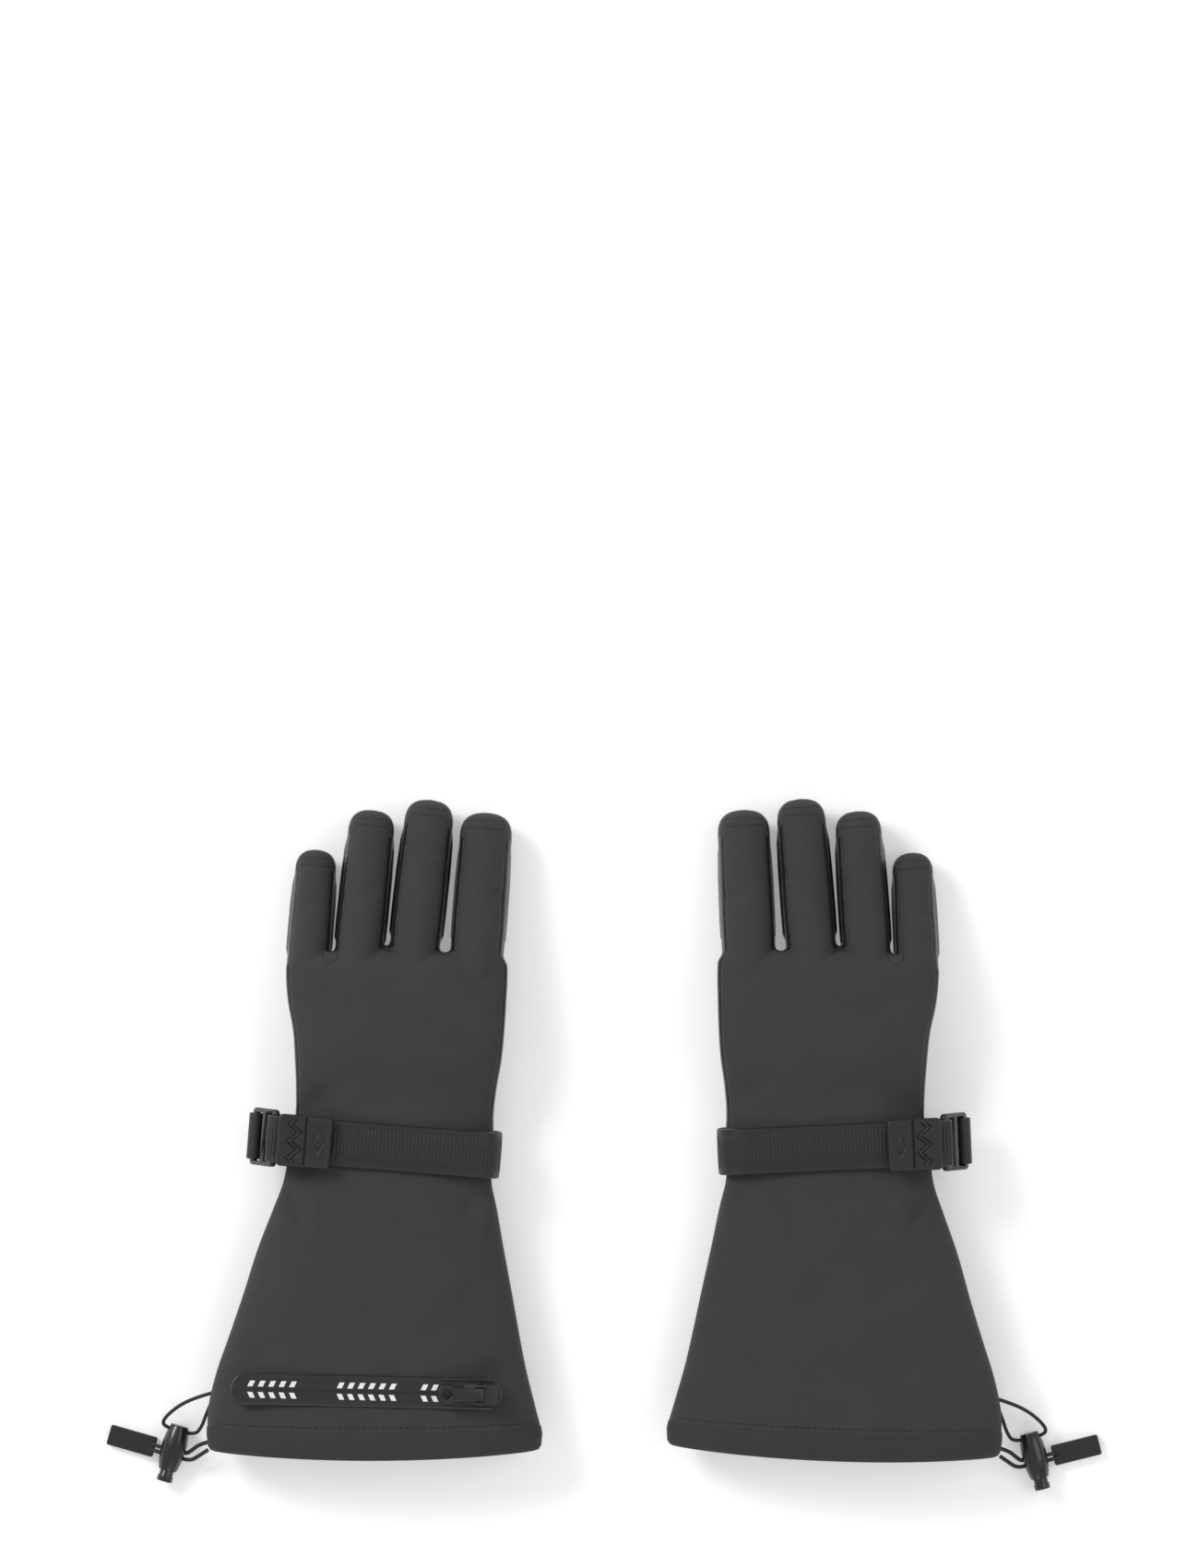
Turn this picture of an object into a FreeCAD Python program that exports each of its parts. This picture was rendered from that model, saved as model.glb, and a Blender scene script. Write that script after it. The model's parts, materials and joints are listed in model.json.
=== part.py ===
import FreeCAD, Part
import math
import os
import Sketcher

# A pair of insulated gauntlet gloves lying palm down, in millimetres, +Z up.
# Each glove is built in its own frame: origin under the wrist crease, +Y towards the
# fingertips, little finger on -X for the left glove and on +X for the right one.

VECTOR = FreeCAD.Vector
TURN = FreeCAD.Rotation
PLACE = FreeCAD.Placement
X_AXIS = VECTOR(1, 0, 0)
Y_AXIS = VECTOR(0, 1, 0)
Z_AXIS = VECTOR(0, 0, 1)

SIZES = [
    # where the two gloves lie
    ("left_wrist_x", -111.7), ("right_wrist_x", 117.8),
    ("wrist_line_y", 15.3), ("right_glove_turn", -2.0),
    # layers of the glove wall
    ("shell_wall", 1.6), ("layer_gap", 0.1), ("hand_padding", 4.0), ("cuff_padding", 2.6),
    ("finger_padding", 3.3), ("joint_gap", 0.5),
    # hand tube: place along the glove, half width, underside, top and corner radius
    ("wrist_at", 0), ("wrist_shift", 0), ("wrist_half", 54), ("wrist_low", 8),
    ("wrist_high", 40), ("wrist_round", 14),
    ("heel_at", 26), ("heel_shift", 0), ("heel_half", 55.5), ("heel_low", 17.6),
    ("heel_high", 48.5), ("heel_round", 14),
    ("palm_at", 50), ("palm_shift", 0), ("palm_half", 57.5), ("palm_low", 17.6),
    ("palm_high", 48), ("palm_round", 14),
    ("knuckle_at", 75), ("knuckle_shift", 0), ("knuckle_half", 60), ("knuckle_low", 15.5),
    ("knuckle_high", 44.5), ("knuckle_round", 13),
    ("wrist_clear", 65),
    # gauntlet tube
    ("collar_at", 0), ("collar_shift", -3), ("collar_half", 55.5), ("collar_low", 8),
    ("collar_high", 40), ("collar_round", 14),
    ("gather_at", -44), ("gather_shift", -3), ("gather_half", 55.5), ("gather_low", 8),
    ("gather_high", 40), ("gather_round", 14),
    ("flare_at", -60), ("flare_shift", -7.2), ("flare_half", 61.7), ("flare_low", 4.5),
    ("flare_high", 40.5), ("flare_round", 13),
    ("middle_at", -100), ("middle_shift", -10.5), ("middle_half", 71.8), ("middle_low", 0),
    ("middle_high", 42), ("middle_round", 12),
    ("pocket_at", -140), ("pocket_shift", -13.7), ("pocket_half", 82.5), ("pocket_low", 0),
    ("pocket_high", 44), ("pocket_round", 10),
    ("hem_at", -175), ("hem_shift", -12.5), ("hem_half", 90), ("hem_low", 0),
    ("hem_high", 44), ("hem_round", 10),
    ("hem_depth", 16), ("hem_wall", 4.6),
    # fingers: knuckle place, radius, knuckle to tip centre and lean to the thumb side
    ("knuckle_height", 30),
    ("little_x", -48.9), ("little_y", 66), ("little_radius", 12.4), ("little_length", 60.8),
    ("little_lean", 4.3),
    ("ring_x", -21.7), ("ring_y", 72), ("ring_radius", 14), ("ring_length", 74.1),
    ("ring_lean", 5.6),
    ("middle_x", 8.5), ("middle_y", 75), ("middle_radius", 14.8), ("middle_length", 75.7),
    ("middle_lean", 6.1),
    ("index_x", 42.3), ("index_y", 72), ("index_radius", 15), ("index_length", 71.3),
    ("index_lean", 4.2),
    ("socket_margin", 3),
    # thumb, folded flat under the palm
    ("thumb_x", 40), ("thumb_y", 26.5), ("thumb_fold", 60), ("thumb_half", 14.5),
    ("thumb_reach", 36), ("thumb_thick", 14.5), ("thumb_edge", 7),
    # wrist strap of webbing, and its ladder buckle
    ("webbing_width", 25), ("webbing_thick", 1.8), ("strap_slack", 0.3), ("strap_side_slack", 1.6),
    ("strap_y", -23), ("strap_tilt", 4.5),
    ("buckle_long", 20), ("buckle_wide", 31), ("buckle_thick", 3.2), ("buckle_bar", 3.3),
    ("buckle_slot_wide", 26), ("buckle_corner", 2.5), ("buckle_lean", 50),
    ("buckle_x", -68.5), ("buckle_z", 28.9), ("loop_inner", 2.6), ("loop_outer", 4.0),
    ("anchor_drop", 4.5),
    ("tab_long", 29), ("tab_wide", 28), ("tab_thick", 3.8), ("tab_start", -61),
    ("tail_lift", 0.6), ("tail_thick", 1.6), ("tab_edge", 1.2),
    # hem drawcord, cord lock, tether and pull tab
    ("cord_thick", 2.2), ("tether_thick", 2.0), ("lock_x", -121.4), ("lock_y", -186.6),
    ("lock_z", 7.0), ("lock_tilt", 16), ("lock_long", 25), ("lock_fat", 6.8),
    ("lock_slim", 4.9), ("lock_bore", 3.9), ("lock_floor", 5.5), ("cord_slot_y", -3),
    ("lock_slot_long", 6.2), ("lock_slot_high", 3.0), ("eyelet_long", 3.4),
    ("eyelet_high", 3.0), ("eyelet_from_end", 3.0),
    ("plunger_thick", 3.75), ("plunger_out", 6.2), ("plunger_travel", 3.0),
    ("plunger_cap", 4.3), ("plunger_gap", 0.2), ("spring_recess", 3.3), ("recess_deep", 3.0),
    ("spring_wire", 0.5), ("spring_radius", 2.9), ("spring_pitch", 1.1),
    ("pull_long", 26), ("pull_wide", 11), ("pull_thick", 4.6),
    ("pull_gap", 3.0), ("pull_edge", 1.0),
    # zip pocket of the left gauntlet
    ("zip_x", -16.3), ("zip_y", -153.6), ("zip_tilt", -1.3), ("zip_long", 145.5),
    ("zip_wide", 17), ("zip_thick", 0.9), ("coil_wide", 3.6), ("coil_high", 0.7),
    ("slider_long", 18), ("slider_wide", 11), ("slider_high", 2.6), ("slider_gap", 0.3),
    ("slider_from_end", 2.0), ("cheek_thick", 1.4), ("cheek_high", 4.4), ("cheek_long", 5),
    ("pin_thick", 1.6), ("pull_tab_eye", 4.0), ("zip_pull_long", 23), ("zip_pull_wide", 6.8),
    ("zip_pull_thick", 1.6), ("zip_ring", 10), ("zip_ring_hole", 5.6),
]

doc = FreeCAD.newDocument("insulated_gauntlet_gloves")
sheet = doc.addObject("Spreadsheet::Sheet", "Dims")
for row, (alias, value) in enumerate(SIZES, start=1):
    sheet.set("A%d" % row, alias)
    sheet.set("B%d" % row, str(value))
    sheet.setAlias("B%d" % row, alias)
doc.recompute()

SUBPARTS = []
FINGERS = ("little", "ring", "middle", "index")
SIDES = {"left": 1, "right": -1}


def size(alias):
    """A driving dimension, read from the sheet."""
    return float(sheet.get(alias))


def bind(thing, prop, expression):
    thing.setExpression(prop, expression)


def glove_frame(side):
    """Where a glove's own frame lies in the pair."""
    turn = size("right_glove_turn") if side == "right" else 0.0
    place = VECTOR(size(side + "_wrist_x"), size("wrist_line_y"), 0)
    return PLACE(place, TURN(Z_AXIS, turn))


def strap_frame(side):
    """The strap's frame: its middle, turned by the strap's tilt across the wrist."""
    s = SIDES[side]
    place = VECTOR(s * size("gather_shift"), size("strap_y"), 0)
    return glove_frame(side) * PLACE(place, TURN(Z_AXIS, -s * size("strap_tilt")))


def finger_frame(side, finger):
    """A finger's frame: origin on the knuckle, +Y down the finger."""
    s = SIDES[side]
    place = VECTOR(s * size(finger + "_x"), size(finger + "_y"), size("knuckle_height"))
    drop = size("knuckle_height") - size(finger + "_radius")
    slope = math.degrees(math.asin(drop / size(finger + "_length")))
    turn = TURN(Z_AXIS, -s * size(finger + "_lean")) * TURN(X_AXIS, -slope)
    return glove_frame(side) * PLACE(place, turn)


def thumb_frame(side):
    """The thumb's frame: origin on its swing axis, +Y down the thumb."""
    s = SIDES[side]
    place = VECTOR(s * size("thumb_x"), size("thumb_y"), 0)
    return glove_frame(side) * PLACE(place, TURN(Z_AXIS, s * size("thumb_fold")))


def lock_frame(side):
    """The cord lock's frame: +Y up its barrel, and the cords run through along X."""
    s = SIDES[side]
    place = VECTOR(s * size("lock_x"), size("lock_y"), size("lock_z"))
    return glove_frame(side) * PLACE(place, TURN(Z_AXIS, -s * size("lock_tilt")))


def zip_frame():
    """The zip's frame: its middle, on top of the left gauntlet."""
    place = VECTOR(size("zip_x"), size("zip_y"), size("hem_high"))
    return glove_frame("left") * PLACE(place, TURN(Z_AXIS, size("zip_tilt")))


def keep(thing, label, place):
    """Make a finished object a sub-part with its own label and placement."""
    thing.Label = label
    thing.Placement = place
    SUBPARTS.append(thing)
    return thing


def new_body(name):
    return doc.addObject("PartDesign::Body", name)


def origin_plane(body, role):
    return [item for item in body.Origin.OriginFeatures if item.Role == role][0]


def new_sketch(body, name, role, offset=None):
    sketch = body.newObject("Sketcher::SketchObject", name)
    sketch.AttachmentSupport = [(origin_plane(body, role), "")]
    sketch.MapMode = "FlatFace"
    if offset is not None:
        sketch.AttachmentOffset = offset
    return sketch


def fix(sketch, kind, *where, value, expression=None):
    """Add a dimension to a sketch, bound to the sheet where an expression is given."""
    index = sketch.addConstraint(Sketcher.Constraint(kind, *where, value))
    if expression:
        bind(sketch, "Constraints[%d]" % index, expression)


def rounded_rectangle(sketch, left, right, low, high, radius, words):
    """Four sides and four corner arcs; words are the expressions of the five sizes."""
    r = radius
    corners = [(right - r, low + r, -90), (right - r, high - r, 0),
               (left + r, high - r, 90), (left + r, low + r, 180)]
    sides = [((left + r, low), (right - r, low)), ((right, low + r), (right, high - r)),
             ((right - r, high), (left + r, high)), ((left, high - r), (left, low + r))]
    for (start, end), (x, z, angle) in zip(sides, corners):
        sketch.addGeometry(Part.LineSegment(VECTOR(*start, 0), VECTOR(*end, 0)))
        circle = Part.Circle(VECTOR(x, z, 0), Z_AXIS, r)
        sketch.addGeometry(Part.ArcOfCircle(circle, math.radians(angle), math.radians(angle + 90)))
    for index in range(8):
        sketch.addConstraint(Sketcher.Constraint("Tangent", index, 2, (index + 1) % 8, 1))
    for index, kind in ((0, "Horizontal"), (2, "Vertical"), (4, "Horizontal"), (6, "Vertical")):
        sketch.addConstraint(Sketcher.Constraint(kind, index))
    for index in (3, 5, 7):
        sketch.addConstraint(Sketcher.Constraint("Equal", 1, index))
    fix(sketch, "DistanceX", -1, 1, 6, 1, value=left, expression=words[0])
    fix(sketch, "DistanceX", -1, 1, 2, 1, value=right, expression=words[1])
    fix(sketch, "DistanceY", -1, 1, 0, 1, value=low, expression=words[2])
    fix(sketch, "DistanceY", -1, 1, 4, 1, value=high, expression=words[3])
    fix(sketch, "Radius", 1, value=radius, expression=words[4])


def station_section(body, station, s, inset, push="0"):
    """The glove's rounded section at a station, set in by the named layers."""
    depth = sum(size(alias) for alias in inset)
    layers = "".join(" - Dims." + alias for alias in inset)
    more = layers.replace(" - ", " + ")
    shift = s * size(station + "_shift")
    half = size(station + "_half") - depth
    sketch = new_sketch(body, "Section_" + station, "XZ_Plane")
    bind(sketch, "AttachmentOffset.Base.z", "-(Dims.%s_at + %s)" % (station, push))
    name = "Dims." + station
    words = ["%d * %s_shift - (%s_half%s)" % (s, name, name, layers),
             "%d * %s_shift + %s_half%s" % (s, name, name, layers),
             "%s_low%s" % (name, more), "%s_high%s" % (name, layers),
             "%s_round%s" % (name, layers)]
    rounded_rectangle(sketch, shift - half, shift + half, size(station + "_low") + depth,
                      size(station + "_high") - depth, size(station + "_round") - depth, words)
    return sketch


def loft(body, kind, sections):
    feature = body.newObject("PartDesign::" + kind, kind)
    feature.Profile = sections[0]
    feature.Sections = sections[1:]
    feature.Ruled = True
    body.Tip = feature
    return feature


def pad(body, sketch, expression, midplane=False, backwards=False):
    feature = body.newObject("PartDesign::Pad", "Pad")
    feature.Profile = sketch
    bind(feature, "Length", expression)
    feature.Midplane = midplane
    feature.Reversed = backwards
    body.Tip = feature
    return feature


def pocket_across(body, sketch, expression):
    """Cut a prism that is centred on the sketch's plane."""
    feature = body.newObject("PartDesign::Pocket", "Pocket")
    feature.Profile = sketch
    bind(feature, "Length", expression)
    feature.Midplane = True
    body.Tip = feature
    return feature


def polygon(sketch, points):
    """A closed outline of straight sides, held where it is drawn."""
    corners = [VECTOR(x, y, 0) for x, y in points]
    for start, end in zip(corners, corners[1:] + corners[:1]):
        sketch.addGeometry(Part.LineSegment(start, end))
    count = len(corners)
    for index in range(count):
        sketch.addConstraint(Sketcher.Constraint("Coincident", index, 2, (index + 1) % count, 1))
        sketch.addConstraint(Sketcher.Constraint("DistanceX", -1, 1, index, 1, corners[index].x))
        sketch.addConstraint(Sketcher.Constraint("DistanceY", -1, 1, index, 1, corners[index].y))


# ---------------------------------------------------------------- hand and gauntlet

def wrist_barrel(body, inset):
    """The round heel of the hand, the rear half of a barrel, which turns in the gauntlet."""
    layers = "".join(" - Dims." + alias for alias in inset)
    depth = sum(size(alias) for alias in inset)
    half = size("wrist_half") - depth
    radius = (size("wrist_high") - size("wrist_low")) / 2 - depth
    corner = size("wrist_round") - depth
    sketch = new_sketch(body, "Barrel", "XZ_Plane")
    bind(sketch, "AttachmentOffset.Base.y", "(Dims.wrist_high + Dims.wrist_low) / 2")
    low = radius - corner
    flat = half - corner
    lines = [((-half, 0), (half, 0)), ((half, 0), (half, low)), ((flat, radius), (-flat, radius)),
             ((-half, low), (-half, 0))]
    for start, end in lines:
        sketch.addGeometry(Part.LineSegment(VECTOR(*start, 0), VECTOR(*end, 0)))
    for x, angle in ((flat, 0), (-flat, 90)):
        circle = Part.Circle(VECTOR(x, low, 0), Z_AXIS, corner)
        sketch.addGeometry(Part.ArcOfCircle(circle, math.radians(angle), math.radians(angle + 90)))
    for first, second in (((0, 2), (1, 1)), ((3, 2), (0, 1))):
        sketch.addConstraint(Sketcher.Constraint("Coincident", *first, *second))
    for first, second in (((1, 2), (4, 1)), ((4, 2), (2, 1)), ((2, 2), (5, 1)), ((5, 2), (3, 1))):
        sketch.addConstraint(Sketcher.Constraint("Tangent", *first, *second))
    for index, kind in ((0, "Horizontal"), (1, "Vertical"), (2, "Horizontal"), (3, "Vertical")):
        sketch.addConstraint(Sketcher.Constraint(kind, index))
    sketch.addConstraint(Sketcher.Constraint("Equal", 4, 5))
    fix(sketch, "DistanceX", -1, 1, 0, 1, value=-half, expression="-(Dims.wrist_half%s)" % layers)
    fix(sketch, "DistanceX", -1, 1, 0, 2, value=half, expression="Dims.wrist_half%s" % layers)
    fix(sketch, "DistanceY", -1, 1, 2, 1, value=radius,
        expression="(Dims.wrist_high - Dims.wrist_low) / 2%s" % layers)
    fix(sketch, "Radius", 4, value=corner, expression="Dims.wrist_round%s" % layers)
    fix(sketch, "DistanceY", -1, 1, 0, 1, value=0)
    feature = body.newObject("PartDesign::Revolution", "Heel")
    feature.Profile = sketch
    feature.ReferenceAxis = (sketch, ["H_Axis"])
    feature.Angle = 180
    body.Tip = feature
    doc.recompute()
    if feature.Shape.BoundBox.YMin > -radius / 2:
        raise RuntimeError("the heel of %s turned forwards" % body.Label)


def finger_socket(body, side, finger):
    """Clear the hand's front for one finger, from level to pointing straight down."""
    s = SIDES[side]
    lean = TURN(Y_AXIS, -s * size(finger + "_lean"))
    height = size("knuckle_height")
    offset = PLACE(VECTOR(size(finger + "_y"), height, s * size(finger + "_x")), lean)
    sketch = new_sketch(body, "Socket_" + finger, "YZ_Plane", offset)
    bind(sketch, "AttachmentOffset.Base.x", "Dims.%s_y" % finger)
    bind(sketch, "AttachmentOffset.Base.y", "Dims.knuckle_height")
    bind(sketch, "AttachmentOffset.Base.z", "%d * Dims.%s_x" % (s, finger))
    radius = size(finger + "_radius") + size("joint_gap")
    ahead = 60
    below = 60
    circle = Part.Circle(VECTOR(0, 0, 0), Z_AXIS, radius)
    sketch.addGeometry(Part.ArcOfCircle(circle, math.pi / 2, math.pi))
    lines = [((-radius, 0), (-radius, -below)), ((-radius, -below), (ahead, -below)),
             ((ahead, -below), (ahead, radius)), ((ahead, radius), (0, radius))]
    for start, end in lines:
        sketch.addGeometry(Part.LineSegment(VECTOR(*start, 0), VECTOR(*end, 0)))
    sketch.addConstraint(Sketcher.Constraint("Coincident", 0, 3, -1, 1))
    sketch.addConstraint(Sketcher.Constraint("Tangent", 0, 2, 1, 1))
    sketch.addConstraint(Sketcher.Constraint("Tangent", 4, 2, 0, 1))
    for index in (1, 2, 3):
        sketch.addConstraint(Sketcher.Constraint("Coincident", index, 2, index + 1, 1))
    for index, kind in ((1, "Vertical"), (2, "Horizontal"), (3, "Vertical"), (4, "Horizontal")):
        sketch.addConstraint(Sketcher.Constraint(kind, index))
    fix(sketch, "Radius", 0, value=radius,
        expression="Dims.%s_radius + Dims.joint_gap" % finger)
    fix(sketch, "DistanceY", -1, 1, 2, 1, value=-below)
    fix(sketch, "DistanceX", -1, 1, 3, 1, value=ahead)
    return pocket_across(body, sketch,
                         "2 * (Dims.%s_radius + Dims.socket_margin)" % finger)


def half_cutter(body, station_names, upper):
    """Remove the upper or the lower half, along the side seams at mid height."""
    seam = [(size(name + "_at"), (size(name + "_low") + size(name + "_high")) / 2)
            for name in station_names]
    beyond = 40
    level = seam[0][1]
    edge = 90 if upper else -40
    points = [(seam[0][0] - beyond, level)] + seam
    points += [(seam[-1][0] + beyond, seam[-1][1]), (seam[-1][0] + beyond, edge),
               (seam[0][0] - beyond, edge)]
    sketch = new_sketch(body, "Seam", "YZ_Plane")
    polygon(sketch, points)
    return pocket_across(body, sketch, "4 * Dims.knuckle_half")


HAND_STATIONS = ("wrist", "heel", "palm", "knuckle")


def hand_layer(side, label, outer, inner, removed=None):
    """One layer of the hand tube: lofted outside, lofted cavity, finger sockets."""
    s = SIDES[side]
    body = new_body(label)
    loft(body, "AdditiveLoft", [station_section(body, name, s, outer) for name in HAND_STATIONS])
    wrist_barrel(body, outer)
    cavity = [station_section(body, "wrist", s, inner, "-30")]
    cavity += [station_section(body, name, s, inner) for name in HAND_STATIONS]
    cavity.append(station_section(body, "knuckle", s, inner, "1"))
    loft(body, "SubtractiveLoft", cavity)
    for finger in FINGERS:
        finger_socket(body, side, finger)
    if removed:
        half_cutter(body, HAND_STATIONS, removed == "upper")
    return keep(body, label, glove_frame(side))


GAUNTLET_STATIONS = ("collar", "gather", "flare", "middle", "pocket", "hem")


def wrist_socket(body):
    """Clear the gauntlet's front for the heel of the hand over its whole bend."""
    sketch = new_sketch(body, "WristSocket", "YZ_Plane")
    bind(sketch, "AttachmentOffset.Base.y", "(Dims.wrist_high + Dims.wrist_low) / 2")
    radius = (size("wrist_high") - size("wrist_low")) / 2 + size("joint_gap")
    bend = math.radians(size("wrist_clear"))
    touch = VECTOR(-radius * math.sin(bend), radius * math.cos(bend), 0)
    reach = 60
    far = touch + VECTOR(reach * math.cos(bend), reach * math.sin(bend), 0)
    mirror = [VECTOR(point.x, -point.y, 0) for point in (touch, far)]
    circle = Part.Circle(VECTOR(0, 0, 0), Z_AXIS, radius)
    sketch.addGeometry(Part.ArcOfCircle(circle, math.pi / 2 + bend, 1.5 * math.pi - bend))
    sketch.addGeometry(Part.LineSegment(mirror[0], mirror[1]))
    sketch.addGeometry(Part.LineSegment(mirror[1], far))
    sketch.addGeometry(Part.LineSegment(far, touch))
    sketch.addConstraint(Sketcher.Constraint("Coincident", 0, 3, -1, 1))
    sketch.addConstraint(Sketcher.Constraint("Tangent", 0, 2, 1, 1))
    sketch.addConstraint(Sketcher.Constraint("Coincident", 1, 2, 2, 1))
    sketch.addConstraint(Sketcher.Constraint("Coincident", 2, 2, 3, 1))
    sketch.addConstraint(Sketcher.Constraint("Tangent", 3, 2, 0, 1))
    sketch.addConstraint(Sketcher.Constraint("Vertical", 2))
    fix(sketch, "Radius", 0, value=radius,
        expression="(Dims.wrist_high - Dims.wrist_low) / 2 + Dims.joint_gap")
    fix(sketch, "DistanceX", -1, 1, 2, 1, value=far.x)
    fix(sketch, "DistanceX", -1, 1, 3, 2, value=touch.x)
    return pocket_across(body, sketch, "4 * Dims.hem_half")


def gauntlet_layer(side, label, outer, inner):
    s = SIDES[side]
    body = new_body(label)
    loft(body, "AdditiveLoft",
         [station_section(body, name, s, outer) for name in GAUNTLET_STATIONS])
    cavity = [station_section(body, "collar", s, inner, "2")]
    cavity += [station_section(body, name, s, inner) for name in GAUNTLET_STATIONS]
    cavity.append(station_section(body, "hem", s, inner, "-2"))
    loft(body, "SubtractiveLoft", cavity)
    wrist_socket(body)
    return keep(body, label, glove_frame(side))


def hem_band(side):
    """The hem at the mouth of the gauntlet, a plain padded band."""
    s = SIDES[side]
    label = side + "_hem_band"
    body = new_body(label)
    push = "-Dims.layer_gap"
    end = "-Dims.layer_gap - Dims.hem_depth"
    loft(body, "AdditiveLoft", [station_section(body, "hem", s, (), push),
                                station_section(body, "hem", s, (), end)])
    loft(body, "SubtractiveLoft", [station_section(body, "hem", s, ("hem_wall",), push + " + 1"),
                                   station_section(body, "hem", s, ("hem_wall",), end + " - 1")])
    return keep(body, label, glove_frame(side))


# ---------------------------------------------------------------- fingers and thumb

def finger_layer(side, finger, label, outer, inner):
    """A closed-ended tube round the finger's axis, with a ball heel at the knuckle."""
    radius = size(finger + "_radius")
    outside = radius - sum(size(alias) for alias in outer)
    inside = radius - sum(size(alias) for alias in inner)
    length = size(finger + "_length")
    heel = -math.sqrt(outside ** 2 - inside ** 2)
    word = "Dims.%s_radius" % finger
    outer_word = word + "".join(" - Dims." + alias for alias in outer)
    inner_word = word + "".join(" - Dims." + alias for alias in inner)
    body = new_body(label)
    sketch = new_sketch(body, "Half_" + finger, "XY_Plane")
    knuckle_arc = Part.ArcOfCircle(Part.Circle(VECTOR(0, 0, 0), Z_AXIS, outside),
                                   math.atan2(heel, inside), 0)
    tip_arc = Part.ArcOfCircle(Part.Circle(VECTOR(0, length, 0), Z_AXIS, outside),
                               0, math.pi / 2)
    cavity_arc = Part.ArcOfCircle(Part.Circle(VECTOR(0, length, 0), Z_AXIS, inside),
                                  0, math.pi / 2)
    sketch.addGeometry(knuckle_arc)
    sketch.addGeometry(Part.LineSegment(VECTOR(outside, 0, 0), VECTOR(outside, length, 0)))
    sketch.addGeometry(tip_arc)
    sketch.addGeometry(Part.LineSegment(VECTOR(0, length + outside, 0),
                                        VECTOR(0, length + inside, 0)))
    sketch.addGeometry(cavity_arc)
    sketch.addGeometry(Part.LineSegment(VECTOR(inside, length, 0), VECTOR(inside, heel, 0)))
    for constraint in (("Coincident", 0, 3, -1, 1), ("Tangent", 0, 2, 1, 1),
                       ("Tangent", 1, 2, 2, 1), ("Coincident", 2, 2, 3, 1),
                       ("Coincident", 3, 2, 4, 2), ("Tangent", 4, 1, 5, 1),
                       ("Coincident", 5, 2, 0, 1), ("Coincident", 2, 3, 4, 3),
                       ("PointOnObject", 3, 1, -2), ("PointOnObject", 2, 3, -2),
                       ("Vertical", 3), ("Vertical", 5)):
        sketch.addConstraint(Sketcher.Constraint(*constraint))
    fix(sketch, "Radius", 0, value=outside, expression=outer_word)
    fix(sketch, "Radius", 4, value=inside, expression=inner_word)
    fix(sketch, "DistanceY", -1, 1, 2, 3, value=length, expression="Dims.%s_length" % finger)
    feature = body.newObject("PartDesign::Revolution", "Turned")
    feature.Profile = sketch
    feature.ReferenceAxis = (sketch, ["V_Axis"])
    feature.Angle = 360
    body.Tip = feature
    return keep(body, label, finger_frame(side, finger))


def thumb_section(body, inset, at):
    """The flat rounded section of the thumb's hollow or lining."""
    depth = sum(size(alias) for alias in inset)
    layers = "".join(" - Dims." + alias for alias in inset)
    more = layers.replace(" - ", " + ")
    half = size("thumb_half") - depth
    sketch = new_sketch(body, "ThumbSection", "XZ_Plane")
    bind(sketch, "AttachmentOffset.Base.z", "-(%s)" % at)
    words = ["-(Dims.thumb_half%s)" % layers, "Dims.thumb_half%s" % layers,
             "0%s" % more, "Dims.thumb_thick%s" % layers, "Dims.thumb_edge%s" % layers]
    rounded_rectangle(sketch, -half, half, depth, size("thumb_thick") - depth,
                      size("thumb_edge") - depth, words)
    return sketch


def thumb_shell(side):
    label = side + "_thumb_shell"
    body = new_body(label)
    sketch = new_sketch(body, "ThumbOutline", "XY_Plane")
    half = size("thumb_half")
    reach = size("thumb_reach")
    for y, start in ((0, math.pi), (reach, 0)):
        circle = Part.Circle(VECTOR(0, y, 0), Z_AXIS, half)
        sketch.addGeometry(Part.ArcOfCircle(circle, start, start + math.pi))
    sketch.addGeometry(Part.LineSegment(VECTOR(half, 0, 0), VECTOR(half, reach, 0)))
    sketch.addGeometry(Part.LineSegment(VECTOR(-half, reach, 0), VECTOR(-half, 0, 0)))
    for constraint in (("Tangent", 0, 2, 2, 1), ("Tangent", 2, 2, 1, 1), ("Tangent", 1, 2, 3, 1),
                       ("Tangent", 3, 2, 0, 1), ("Coincident", 0, 3, -1, 1), ("Vertical", 2)):
        sketch.addConstraint(Sketcher.Constraint(*constraint))
    fix(sketch, "Radius", 0, value=half, expression="Dims.thumb_half")
    fix(sketch, "DistanceY", -1, 1, 1, 3, value=reach, expression="Dims.thumb_reach")
    slab = pad(body, sketch, "Dims.thumb_thick")
    doc.recompute()
    rounding = body.newObject("PartDesign::Fillet", "ThumbRound")
    level = [index for index, edge in enumerate(slab.Shape.Edges, start=1)
             if abs(edge.BoundBox.ZLength) < 1e-6]
    rounding.Base = (slab, ["Edge%d" % index for index in level])
    bind(rounding, "Radius", "Dims.thumb_edge")
    body.Tip = rounding
    loft(body, "SubtractiveLoft",
         [thumb_section(body, ("shell_wall",), "-Dims.thumb_half - 2"),
          thumb_section(body, ("shell_wall",), "Dims.thumb_reach + 4")])
    return keep(body, label, thumb_frame(side))


def thumb_lining(side):
    label = side + "_thumb_lining"
    body = new_body(label)
    outer = ("shell_wall", "layer_gap")
    inner = outer + ("finger_padding",)
    loft(body, "AdditiveLoft",
         [thumb_section(body, outer, "0"), thumb_section(body, outer, "Dims.thumb_reach + 3.9")])
    loft(body, "SubtractiveLoft",
         [thumb_section(body, inner, "-1"), thumb_section(body, inner, "Dims.thumb_reach")])
    return keep(body, label, thumb_frame(side))


# ---------------------------------------------------------------- strap and buckle

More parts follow.
